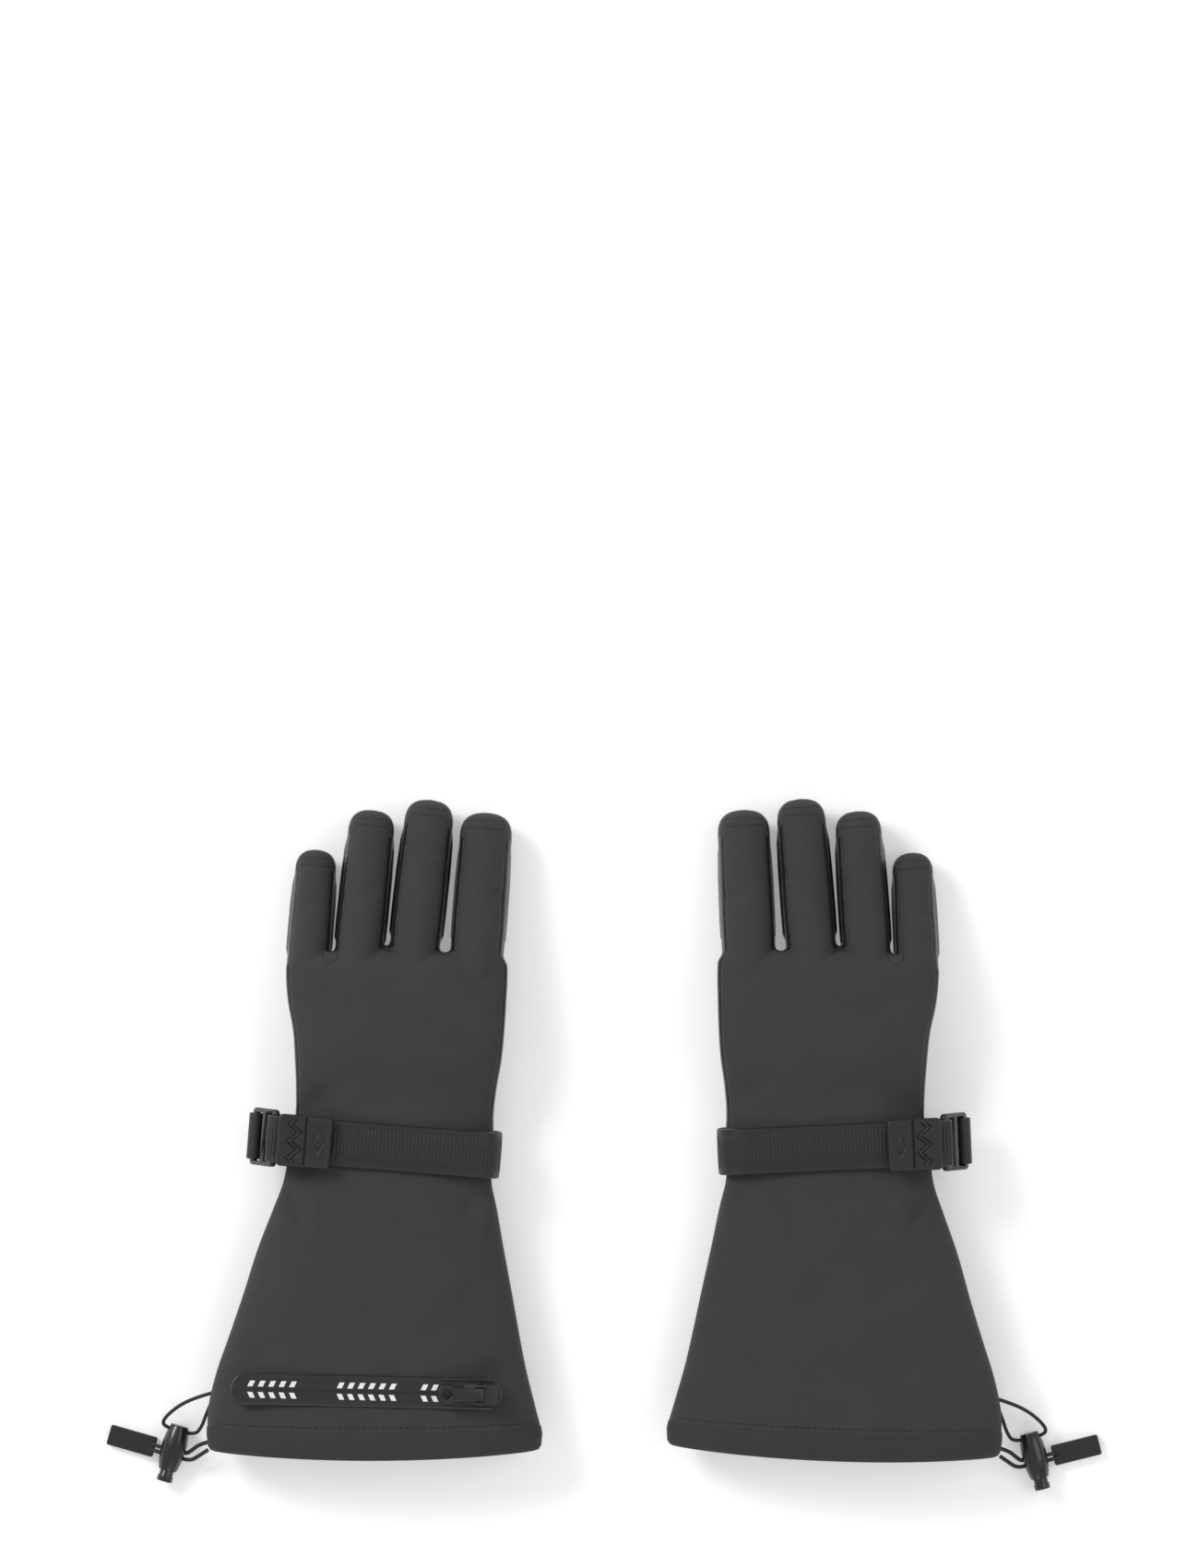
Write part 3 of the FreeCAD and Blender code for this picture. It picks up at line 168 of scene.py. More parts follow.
def turned(points, middle, degrees, height=0.0):
    """Points of a piece's own frame turned about Z and moved to their middle."""
    a = math.radians(degrees)
    p = np.array(points, float).reshape(-1, 3)
    x = p[:, 0] * math.cos(a) - p[:, 1] * math.sin(a) + middle[0]
    y = p[:, 0] * math.sin(a) + p[:, 1] * math.cos(a) + middle[1]
    return np.column_stack([x, y, p[:, 2] + height])


def strap_place(points):
    return turned(points, STRAP_AT, -STRAP_TILT)


def finger_axes(finger):
    """Knuckle, across, along and up of a finger, in the left glove's frame."""
    x, y, radius, length, lean = FINGER_SIZES[finger]
    slope = math.asin((KNUCKLE_HEIGHT - radius) / length)
    a = math.radians(lean)
    along = np.array((math.sin(a) * math.cos(slope), math.cos(a) * math.cos(slope),
                      -math.sin(slope)))
    across = np.array((math.cos(a), -math.sin(a), 0))
    return np.array((x, y, KNUCKLE_HEIGHT)), across, along, np.cross(across, along)


def thumb_axes():
    a = math.radians(THUMB_FOLD)
    along = np.array((-math.sin(a), math.cos(a), 0))
    across = np.array((math.cos(a), math.sin(a), 0))
    return np.array((*THUMB_AT, THUMB_THICK / 2)), across, along


# ---------------------------------------------------------------- materials

class Value:
    """A shader socket that sums, products and powers can be written on."""

    def __init__(self, look, socket):
        self.look = look
        self.socket = socket

    def _math(self, operation, *terms):
        return self.look.node("ShaderNodeMath", {"operation": operation}, dict(enumerate(terms)))

    def __add__(self, other):
        return self._math("ADD", self, other)

    def __sub__(self, other):
        return self._math("SUBTRACT", self, other)

    def __rsub__(self, other):
        return self._math("SUBTRACT", other, self)

    def __mul__(self, other):
        return self._math("MULTIPLY", self, other)

    __radd__ = __add__
    __rmul__ = __mul__

    def absolute(self):
        return self._math("ABSOLUTE", self)

    def step(self, low, high):
        """0 below low and 1 above high, smooth between."""
        return self.look.node("ShaderNodeMapRange", {"interpolation_type": "SMOOTHSTEP"},
                              {"Value": self, "From Min": low, "From Max": high})


class Look:
    """A material while its nodes are being made."""

    def __init__(self, name, roughness=0.5):
        self.material = bpy.data.materials.new(name)
        self.material.use_nodes = True
        self.tree = self.material.node_tree
        self.shader = self.tree.nodes["Principled BSDF"]
        self.shader.inputs["Roughness"].default_value = roughness

    def node(self, kind, settings, inputs, output=0):
        made = self.tree.nodes.new(kind)
        for name, value in settings.items():
            setattr(made, name, value)
        for name, value in inputs.items():
            self.feed(made.inputs[name], value)
        return Value(self, made.outputs[output])

    def feed(self, socket, value):
        if isinstance(value, Value):
            self.tree.links.new(value.socket, socket)
        else:
            socket.default_value = value

    def set(self, name, value):
        self.feed(self.shader.inputs[name], value)

    def coordinates(self):
        return self.node("ShaderNodeTexCoord", {}, {}, "Object")

    def noise(self, scale, detail=2.0):
        return self.node("ShaderNodeTexNoise", {}, {"Vector": self.coordinates(),
                                                    "Scale": scale, "Detail": detail})

    def cells(self, scale):
        return self.node("ShaderNodeTexVoronoi", {}, {"Vector": self.coordinates(),
                                                      "Scale": scale})

    def waves(self, scale, direction):
        return self.node("ShaderNodeTexWave", {"bands_direction": direction},
                         {"Vector": self.coordinates(), "Scale": scale, "Distortion": 0.6})

    def attribute(self, name):
        return self.node("ShaderNodeAttribute", {"attribute_name": name}, {}, "Fac")

    def mix(self, share, first, second):
        made = self.tree.nodes.new("ShaderNodeMix")
        made.data_type = "RGBA"
        self.feed(made.inputs[0], share)
        self.feed(made.inputs[6], first)
        self.feed(made.inputs[7], second)
        return Value(self, made.outputs[2])

    def bump(self, height, strength, distance):
        return self.node("ShaderNodeBump", {}, {"Height": height, "Strength": strength,
                                                "Distance": distance})


def grey(level, warm=0.0):
    return (level * (1 + warm), level, level * (1 - warm), 1)


def glove_cloth():
    """Matt softshell on the back and smooth leather on the palm and finger sides."""
    look = Look("softshell_and_leather")
    panel = look.attribute("panel")
    cloth = panel.step(-0.15, 0.15)
    seam = 1 - panel.absolute().step(0.1, 0.6)
    cap = 1 - look.attribute("cap_seam").step(0.1, 0.55)
    line = (seam + cap * cloth).step(0.0, 1.0)
    weave = look.waves(520, "X") * look.waves(520, "Y")
    mottle = look.noise(60, 4)
    fibres = look.noise(1400, 2)
    shell = look.mix(mottle * 0.45 + fibres * 0.55, grey(0.031, -0.01), grey(0.05, -0.015))
    hide = look.mix(look.noise(180, 3), grey(0.005), grey(0.011))
    surface = look.mix(cloth, hide, shell)
    look.set("Base Color", look.mix(line * 0.7, surface, grey(0.008)))
    look.set("Roughness", cloth * 0.58 + 0.26 + fibres * 0.08)
    grain = look.cells(700) * (1 - cloth) * 0.5
    height = weave * cloth * 0.25 + grain + mottle * 0.3 - line * 1.2
    look.set("Normal", look.bump(height, 0.55, 0.0006))
    look.set("Specular IOR Level", 0.35)
    look.set("Sheen Weight", 0.05)
    look.set("Sheen Roughness", 0.6)
    return look.material


def plain_shell():
    """The softshell of the hem band."""
    look = Look("softshell")
    fibres = look.noise(1400, 2)
    mottle = look.noise(60, 4)
    look.set("Base Color", look.mix(mottle * 0.45 + fibres * 0.55, grey(0.03), grey(0.05)))
    look.set("Roughness", fibres * 0.08 + 0.82)
    weave = look.waves(520, "X") * look.waves(520, "Y")
    look.set("Normal", look.bump(weave * 0.3 + mottle * 0.3, 0.5, 0.0005))
    look.set("Specular IOR Level", 0.25)
    look.set("Sheen Weight", 0.05)
    return look.material


def lining_pile():
    look = Look("lining")
    pile = look.noise(900, 4)
    look.set("Base Color", look.mix(pile, grey(0.02), grey(0.07)))
    look.set("Roughness", pile * 0.08 + 0.88)
    look.set("Normal", look.bump(pile, 0.8, 0.001))
    look.set("Sheen Weight", 0.4)
    return look.material


def webbing_yarn():
    look = Look("webbing")
    yarn = look.noise(1600, 3)
    look.set("Base Color", look.mix(yarn, grey(0.006), grey(0.02)))
    look.set("Roughness", yarn * 0.2 + 0.36)
    look.set("Normal", look.bump(yarn, 0.5, 0.0004))
    look.set("Sheen Weight", 0.04)
    return look.material


def moulded(name, dark, light, rough, coat, grain):
    """Moulded or painted parts: a fine moulded texture with random lighter, rougher rubbed patches."""
    look = Look(name)
    texture = look.noise(grain, 3)
    rubbed = look.noise(220, 2)
    look.set("Base Color", look.mix(rubbed, grey(dark), grey(light)))
    look.set("Roughness", rubbed * 0.15 + rough)
    look.set("Coat Weight", coat)
    look.set("Normal", look.bump(texture, 0.25, 0.0003))
    return look.material


def spring_wire():
    look = Look("spring_steel")
    drawn = look.noise(900, 2)
    look.set("Base Color", look.mix(drawn, grey(0.4), grey(0.6)))
    look.set("Metallic", 1.0)
    look.set("Roughness", drawn * 0.15 + 0.25)
    return look.material


def print_ink():
    look = Look("print_ink")
    wear = look.noise(500, 3)
    look.set("Base Color", look.mix(wear, grey(0.78), grey(0.92)))
    look.set("Roughness", wear * 0.1 + 0.45)
    return look.material


def paper_floor():
    look = Look("paper_floor")
    tooth = look.noise(40, 2)
    look.set("Base Color", look.mix(tooth, grey(0.93), grey(0.95)))
    look.set("Roughness", tooth * 0.05 + 0.9)
    look.set("Emission Color", grey(1.0))
    look.set("Emission Strength", 0.28)
    return look.material


CLOTH = glove_cloth()
SHELL = plain_shell()
PILE = lining_pile()
YARN = webbing_yarn()
PLASTIC = moulded("buckle_plastic", 0.006, 0.012, 0.22, 0.4, 900)
RUBBER = moulded("grip_rubber", 0.009, 0.015, 0.42, 0.0, 1200)
TAPE = moulded("zip_tape", 0.010, 0.016, 0.3, 0.25, 1500)
METAL = moulded("zip_metal", 0.008, 0.014, 0.28, 0.3, 1100)
THREAD = moulded("thread", 0.006, 0.012, 0.5, 0.0, 2500)
BRAID = moulded("elastic_cord", 0.010, 0.022, 0.55, 0.0, 2200)
HIDE = moulded("gusset_leather", 0.004, 0.009, 0.26, 0.2, 260)
STEEL = spring_wire()
INK = print_ink()

# ---------------------------------------------------------------- mesh helpers


def new_object(name, mesh):
    made = bpy.data.objects.new(name, mesh)
    bpy.context.scene.collection.objects.link(made)
    return made


def new_mesh(name, vertices, faces, edges=()):
    mesh = bpy.data.meshes.new(name)
    mesh.from_pydata([tuple(v) for v in vertices], list(edges), [tuple(f) for f in faces])
    mesh.update()
    return mesh


def outward(mesh):
    shape = bmesh.new()
    shape.from_mesh(mesh)
    bmesh.ops.remove_doubles(shape, verts=shape.verts, dist=1e-6)
    bmesh.ops.recalc_face_normals(shape, faces=shape.faces)
    shape.to_mesh(mesh)
    shape.free()


def smooth(mesh, degrees=35):
    mesh.shade_smooth()
    mesh.set_sharp_from_angle(angle=math.radians(degrees))


def applied(thing):
    """The object's mesh with its modifiers applied, and the modifiers removed."""
    graph = bpy.context.evaluated_depsgraph_get()
    mesh = bpy.data.meshes.new_from_object(thing.evaluated_get(graph))
    thing.modifiers.clear()
    thing.data = mesh
    return thing


def piece(name, points, faces, side, finish, degrees=35):
    """A closed piece from points in the left glove's frame."""
    mesh = new_mesh(name, to_pair(points, side), faces)
    outward(mesh)
    mesh.materials.append(finish)
    smooth(mesh, degrees)
    return new_object(name, mesh)


def rings(sections, closed_ends=True):
    """Faces that join equal rings of points, with the two ends closed by fans."""
    count = len(sections[0])
    points = [point for ring in sections for point in ring]
    faces = []
    for level in range(len(sections) - 1):
        for k in range(count):
            after = (k + 1) % count
            faces.append((level * count + k, level * count + after,
                          (level + 1) * count + after, (level + 1) * count + k))
    if closed_ends:
        for level in (0, len(sections) - 1):
            middle = len(points)
            points.append(np.mean(sections[level], axis=0))
            for k in range(count):
                faces.append((level * count + k, level * count + (k + 1) % count, middle))
    return points, faces


def smooth_line(points, spacing):
    """Points along a smooth curve that passes through the given ones."""
    p = np.array(points, float)
    p = np.vstack([2 * p[0] - p[1], p, 2 * p[-1] - p[-2]])
    line = []
    for a, b, c, d in zip(p, p[1:], p[2:], p[3:]):
        steps = max(2, int(np.linalg.norm(c - b) / spacing))
        for t in np.arange(steps) / steps:
            line.append(0.5 * (2 * b + (c - a) * t + (2 * a - 5 * b + 4 * c - d) * t ** 2
                               + (3 * b - a - 3 * c + d) * t ** 3))
    return np.array(line + [p[-2]])


def cad_copy(node, name, finish, body, edge=0.25):
    """A moulded piece from its CAD solid, with its edges softened."""
    mesh = bpy.data.objects[node].data.copy()
    mesh.materials.clear()
    mesh.materials.append(finish)
    shape = bmesh.new()
    shape.from_mesh(mesh)
    bmesh.ops.remove_doubles(shape, verts=shape.verts, dist=1e-6)
    bmesh.ops.dissolve_limit(shape, angle_limit=math.radians(1), verts=shape.verts,
                             edges=shape.edges)
    shape.to_mesh(mesh)
    shape.free()
    thing = new_object(name, mesh)
    if edge:
        bevel = thing.modifiers.new("Edge", "BEVEL")
        bevel.width = edge * MM
        bevel.segments = 2
        bevel.limit_method = "ANGLE"
        bevel.angle_limit = math.radians(40)
        applied(thing)
    smooth(thing.data, 40)
    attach(thing, body)
    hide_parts(node)
    return thing


# ---------------------------------------------------------------- beads along a line

def bead_tree():
    """Rounded beads set along an edge line, standing on the line's "up" attribute."""
    tree = bpy.data.node_groups.new("beads_along_line", "GeometryNodeTree")
    sockets = tree.interface
    sockets.new_socket("Line", in_out="INPUT", socket_type="NodeSocketGeometry")
    for name in ("Spacing", "Long", "Wide", "High"):
        sockets.new_socket(name, in_out="INPUT", socket_type="NodeSocketFloat")
    sockets.new_socket("Finish", in_out="INPUT", socket_type="NodeSocketMaterial")
    sockets.new_socket("Beads", in_out="OUTPUT", socket_type="NodeSocketGeometry")

    def node(kind, settings=(), **links):
        made = tree.nodes.new(kind)
        for name, value in dict(settings).items():
            setattr(made, name, value)
        for name, value in links.items():
            socket = made.inputs[name.replace("_", " ")]
            if isinstance(value, bpy.types.NodeSocket):
                tree.links.new(value, socket)
            else:
                socket.default_value = value
        return made

    given = node("NodeGroupInput").outputs
    curve = node("GeometryNodeMeshToCurve", Mesh=given["Line"])
    even = node("GeometryNodeResampleCurve", {"mode": "LENGTH"}, Curve=curve.outputs[0],
                Length=given["Spacing"])
    tangent = node("GeometryNodeInputTangent")
    up = node("GeometryNodeInputNamedAttribute", {"data_type": "FLOAT_VECTOR"}, Name="up")
    lengthwise = node("FunctionNodeAlignRotationToVector", {"axis": "X"},
                      Vector=tangent.outputs[0])
    upright = node("FunctionNodeAlignRotationToVector", {"axis": "Z", "pivot_axis": "X"},
                   Rotation=lengthwise.outputs[0], Vector=up.outputs[0])
    bead = node("GeometryNodeMeshUVSphere", Segments=8, Rings=5, Radius=0.5)
    extent = node("ShaderNodeCombineXYZ", X=given["Long"], Y=given["Wide"], Z=given["High"])
    placed = node("GeometryNodeInstanceOnPoints", Points=even.outputs[0],
                  Instance=bead.outputs[0], Rotation=upright.outputs[0],
                  Scale=extent.outputs[0])
    real = node("GeometryNodeRealizeInstances", Geometry=placed.outputs[0])
    finished = node("GeometryNodeSetMaterial", Geometry=real.outputs[0],
                    Material=given["Finish"])
    result = node("NodeGroupOutput")
    tree.links.new(finished.outputs[0], result.inputs[0])
    return tree


BEADS = bead_tree()


def beads(name, lines, ups, side, spacing, extent, finish):
    """Beads along lines in the left glove's frame; extent is long, wide and high."""
    points = []
    normals = []
    edges = []
    for line, up in zip(lines, ups):
        first = len(points)
        points += list(to_pair(line, side))
        turn = np.array(glove_matrix(side))[:3, :3]
        normals += list((np.array(up) * (SIDES[side], 1, 1)) @ turn.T)
        edges += [(k, k + 1) for k in range(first, len(points) - 1)]
    mesh = new_mesh(name, points, [], edges)
    attribute = mesh.attributes.new("up", "FLOAT_VECTOR", "POINT")
    attribute.data.foreach_set("vector", np.array(normals, np.float32).ravel())
    thing = new_object(name, mesh)
    modifier = thing.modifiers.new("Beads", "NODES")
    modifier.node_group = BEADS
    values = {"Spacing": spacing * MM, "Long": extent[0] * MM, "Wide": extent[1] * MM,
              "High": extent[2] * MM, "Finish": finish}
    for item in BEADS.interface.items_tree:
        if item.name in values:
            modifier[item.identifier] = values[item.name]
    applied(thing)
    thing.data.shade_smooth()
    return thing


# ---------------------------------------------------------------- glove skin

STATION_Y = [row[0] for row in BODY_STATIONS]


def station_values(y):
    """Little-finger side, thumb side, underside and top at each place along the glove."""
    return [smooth_interp(y, STATION_Y, [row[k] for row in BODY_STATIONS]) for k in range(1, 5)]


def smooth_interp(x, places, values):
    """Cubic interpolation with slopes taken from the neighbours."""
    x = np.atleast_1d(np.array(x, float))
    p = np.array(places, float)
    v = np.array(values, float)
    slope = np.gradient(v, p)
    k = np.clip(np.searchsorted(p, x) - 1, 0, len(p) - 2)
    h = p[k + 1] - p[k]
    t = np.clip((x - p[k]) / h, 0, 1)
    a = (1 + 2 * t) * (1 - t) ** 2 * v[k] + t * (1 - t) ** 2 * h * slope[k]
    return a + t ** 2 * (3 - 2 * t) * v[k + 1] + t ** 2 * (t - 1) * h * slope[k + 1]


def body_ring(y, inset=0.0, count=120):
    """The glove's section: flat and wide, with full round sides."""
    left, right, low, high = [float(value[0]) for value in station_values(y)]
    angle = np.arange(count) / count * 2 * math.pi
    a = (right - left) / 2 - inset
    b = (high - low) / 2 - inset
    x = (left + right) / 2 + a * np.sign(np.cos(angle)) * np.abs(np.cos(angle)) ** (2 / SECTION_POWER)
    z = (low + high) / 2 + b * np.sign(np.sin(angle)) * np.abs(np.sin(angle)) ** (2 / SECTION_POWER)
    return np.column_stack([x, np.full(count, float(y)), z])


def hem_curve(points):
    """The hem's edge bows out in the middle."""
    p = np.array(points, float)
    near = np.clip((-140 - p[:, 1]) / 50, 0, 1)
    bow = 4.2 * ((p[:, 0] + 14) / 85) ** 2 * near ** 2
    p[:, 1] = p[:, 1] + bow
    return p


def tapered(axis_at, across, along, up, profile, flat=1.0, count=40):
    """A closed tube round an axis, from pairs of place and radius."""
    angle = np.arange(count) / count * 2 * math.pi
    sections = []
    for place, radius in profile:
        ring = (axis_at + along * place + np.outer(np.cos(angle), across) * radius
                + np.outer(np.sin(angle), up) * radius * flat)
        sections.append(ring)
    return rings(sections)


def finger_form(finger):
    at_knuckle, across, along, up = finger_axes(finger)
    radius, length = FINGER_SIZES[finger][2:4]
    profile = [(-14, radius * 0.5), (-8, radius * 0.76), (0, radius * 0.93)]
    profile += [(length * share, radius * wide) for share, wide in
                ((0.12, 0.985), (0.35, 1.0), (0.6, 0.99), (0.85, 0.97))]
    start = length + radius * 0.1
    reach = radius * 0.92
    for k in range(1, 12):
        t = k / 11.5
        profile.append((start + reach * t, radius * 0.965 * (1 - t ** 2.7) ** (1 / 2.7)))
    return tapered(at_knuckle, across * FINGER_WIDTH[finger], along, up, profile)


def thumb_form():
    middle, across, along = thumb_axes()
    profile = [(-THUMB_HALF * math.cos(a), THUMB_HALF * math.sin(a))
               for a in np.linspace(0.25, math.pi / 2, 8)]
    profile += [(THUMB_REACH + THUMB_HALF * math.sin(a), THUMB_HALF * math.cos(a))
                for a in np.linspace(0, math.pi / 2 - 0.25, 8)]
    return tapered(middle, across, along, np.array((0, 0, 1.0)), profile,
                   THUMB_THICK / 2 / THUMB_HALF)


def thumb_root():
    """The swell that joins the thumb to the side of the palm."""
    profile = [(-11 * math.cos(a), 11 * math.sin(a)) for a in np.linspace(0.25, math.pi - 0.25, 12)]
    return tapered(np.array((43.0, 20.0, 14.0)), np.array((1.0, 0, 0)), np.array((0, 1.0, 0)),
                   np.array((0, 0, 1.0)), profile, 0.9)


def web_form(x, y):
    """The web between two fingers, whose round front closes the gap at (x, y)."""
    profile = [(-WEB_REACH * math.cos(a), WEB_HALF * math.sin(a))
               for a in np.linspace(0.2, math.pi - 0.2, 12)]
    return tapered(np.array((x, y - WEB_REACH, WEB_HEIGHT)), np.array((1.0, 0, 0)), np.array((0, 1.0, 0)),
                   np.array((0, 0, 1.0)), profile, 2.2)


def body_form():
    """Hand and gauntlet outside, then back inside the cuff, as one closed form."""
    front = [body_ring(y, inset) for y, inset in ((82, 6.0), (80.6, 3.4), (79, 1.6), (77, 0.5))]
    outside = front + [body_ring(y) for y in (*np.arange(75, -190, -3.0), -190.6)]
    inside = [body_ring(y, CUFF_WALL) for y in (-190.6, *np.arange(-188, CUFF_END, 4.0), CUFF_END)]
    return rings(outside + inside)


def glove_form():
    """All forms of one glove joined and softened into one skin, in millimetres."""
    points = []
    faces = []
    webs = [web_form(*place) for place in CROTCHES]
    fingers = [finger_form(finger) for finger in FINGERS]
    for form in [body_form(), thumb_form(), thumb_root()] + webs + fingers:
        shift = len(points)
        points += list(form[0])
        faces += [tuple(index + shift for index in face) for face in form[1]]
    mesh = new_mesh("skin_form", np.array(points), faces)
    shape = bmesh.new()
    shape.from_mesh(mesh)
    for island in islands(shape):
        bmesh.ops.recalc_face_normals(shape, faces=island)
    shape.to_mesh(mesh)
    shape.free()
    thing = new_object("skin_form", mesh)
    remesh = thing.modifiers.new("Skin", "REMESH")
    remesh.mode = "VOXEL"
    remesh.voxel_size = GRAIN
    soften = thing.modifiers.new("Soften", "SMOOTH")
    soften.factor = 0.5
    soften.iterations = 7
    applied(thing)
    mesh = thing.data
    bpy.data.objects.remove(thing)
    return mesh


def islands(shape):
    """The faces of each separate closed form."""
    left = set(shape.faces)
    found = []
    while left:
        queue = [left.pop()]
        group = []
        while queue:
            face = queue.pop()
            group.append(face)
            for edge in face.edges:
                for other in edge.link_faces:
                    if other in left:
                        left.remove(other)
                        queue.append(other)
        found.append(group)
    return found


def coordinates(mesh, kind="co"):
    values = np.zeros(len(mesh.vertices) * 3)
    mesh.vertices.foreach_get(kind, values)
    return values.reshape(-1, 3)


def finger_places(points, finger):
    """Across, along and up of points in a finger's own frame."""
    at_knuckle, across, along, up = finger_axes(finger)
    rest = points - at_knuckle
    return rest @ across, rest @ along, rest @ up


def crease_height(points):
    """Creases and the slow unevenness of a padded cloth."""
    x, y = points[:, 0], points[:, 1]
    height = np.zeros(len(points))
    for x0, y0, x1, y1, half, rise in CREASES:
        dx, dy = x1 - x0, y1 - y0
        t = np.clip(((x - x0) * dx + (y - y0) * dy) / (dx * dx + dy * dy), 0, 1)
        away = np.hypot(x - x0 - t * dx, y - y0 - t * dy)
        height += 1.9 * rise * np.exp(-(away / half) ** 2) * (0.4 + 0.6 * np.sin(math.pi * t))
    height += 0.25 * np.sin(x * 0.11 + y * 0.043) * np.sin(y * 0.075 - x * 0.03 + 1.3)
    height += 0.14 * np.sin(x * 0.23 - y * 0.14 + 0.7) * np.sin(y * 0.19 + 0.4)
    return height


def panel_values(points):
    """Millimetres into the cloth (above 0) or into the leather (below 0)."""
    low, high = station_values(np.clip(points[:, 1], STATION_Y[0], STATION_Y[-1]))[2:]
    middle = (low + high) / 2
    half = (high - low) / 2
    hand = points[:, 2] - (middle + half * 0.35)
    gauntlet = points[:, 2] - (middle - 100)
    panel = np.where(points[:, 1] < HAND_SPLIT - 6, gauntlet, hand)
    nearest = np.full(len(points), 1e9)
    cap = np.full(len(points), 9.0)
    for finger in FINGERS:
        radius, length = FINGER_SIZES[finger][2:4]
        across, along, up = finger_places(points, finger)
        away = np.hypot(across, up)
        mine = (along > FINGER_SPLIT - 4) & (away < nearest) & (away < radius * 1.6)
        nearest = np.where(mine, away, nearest)
        panel = np.where(mine, up - radius * PANEL_HEIGHT * (1 - 0.35 * (along > length)), panel)
        seam = np.abs(along - (length + radius - TIP_CAP))
        corner = np.abs(np.abs(across) - radius * 0.62 - (along - length - radius + TIP_CAP) * -0.8)
        corner = np.where(along > length + radius - TIP_CAP, corner, 9.0)
        cap = np.where(mine, np.minimum(seam, corner), cap)
    inner = points[:, 2] < THUMB_THICK + 1.0
    panel = np.where(inner & (points[:, 1] > HAND_SPLIT + 8), -5.0, panel)
    return panel, cap


def skin_groups(centres):
    """Which part of the glove each face belongs to."""
    group = np.where(centres[:, 1] < HAND_SPLIT, 0, 1)
    nearest = np.full(len(centres), 1e9)
    for number, finger in enumerate(FINGERS):
        radius = FINGER_SIZES[finger][2]
        across, along, up = finger_places(centres, finger)
        away = np.hypot(across, up)
        mine = (along > FINGER_SPLIT) & (away < nearest) & (away < radius * 2)
        nearest = np.where(mine, away, nearest)
        group = np.where(mine, 2 + number, group)
    middle, across, along = thumb_axes()
    rest = centres - middle
    thumb = (rest @ along > 8) & (np.abs(rest @ across) < 18) & (centres[:, 2] < 15.6)
    return np.where(thumb & (group == 1), 6, group)


SKIN = glove_form()


def inside_cuff(points):
    """Whether points lie on the cuff's inner wall."""
    left, right, low, high = station_values(np.clip(points[:, 1], STATION_Y[0], STATION_Y[-1]))
    a = (right - left) / 2 - CUFF_WALL / 2
    b = (high - low) / 2 - CUFF_WALL / 2
    x = np.abs(points[:, 0] - (left + right) / 2) / a
    z = np.abs(points[:, 2] - (low + high) / 2) / b
    return (x ** SECTION_POWER + z ** SECTION_POWER < 1) & (points[:, 1] < CUFF_END + 3)


def dressed_skin():
    """Points, normals, faces and the two pattern values of one glove's skin."""
    points = coordinates(SKIN)
    normals = coordinates(SKIN, "normal")
    faces = [tuple(face.vertices) for face in SKIN.polygons]
    inner = inside_cuff(points)
    panel, cap = panel_values(points)
    top = np.clip(normals[:, 2], 0, 1) * np.where(inner, 0, 1)
    groove = 0.5 * np.exp(-(panel / 0.9) ** 2) * (panel > -4)
    moved = points + normals * (crease_height(points) * top - groove * (1 - inner))[:, None]
    moved[:, 2] = np.maximum(moved[:, 2], 0.05)
    return hem_curve(moved), faces, panel, cap, inner


SKIN_POINTS, SKIN_FACES, SKIN_PANEL, SKIN_CAP, SKIN_INNER = dressed_skin()
SURFACE = BVHTree.FromPolygons([Vector(p) for p in SKIN_POINTS], SKIN_FACES)


def skin_piece(name, side, chosen, normals):
    """One part of a glove's skin, with the whole skin's normals at its borders."""
    used = sorted({index for k in chosen for index in SKIN_FACES[k]})
    new_index = {old: new for new, old in enumerate(used)}
    order = 1 if SIDES[side] > 0 else -1
    faces = [tuple(new_index[i] for i in SKIN_FACES[k])[::order] for k in chosen]
    mesh = new_mesh(name, to_pair(SKIN_POINTS[used], side), faces)
    for label, values in (("panel", SKIN_PANEL), ("cap_seam", SKIN_CAP)):
        attribute = mesh.attributes.new(label, "FLOAT", "POINT")
        attribute.data.foreach_set("value", values[used].astype(np.float32))
    mesh.materials.append(CLOTH)
    mesh.materials.append(PILE)
    lined = [int(all(SKIN_INNER[i] for i in SKIN_FACES[k])) for k in chosen]
    mesh.polygons.foreach_set("material_index", lined)
    mesh.shade_smooth()
    mesh.normals_split_custom_set_from_vertices([tuple(n) for n in normals[used]])
    return new_object(name, mesh)


def whole_normals(side):
    order = 1 if SIDES[side] > 0 else -1
    mesh = new_mesh("whole_skin", to_pair(SKIN_POINTS, side), [f[::order] for f in SKIN_FACES])
    normals = coordinates(mesh, "normal")
    bpy.data.meshes.remove(mesh)
    return normals


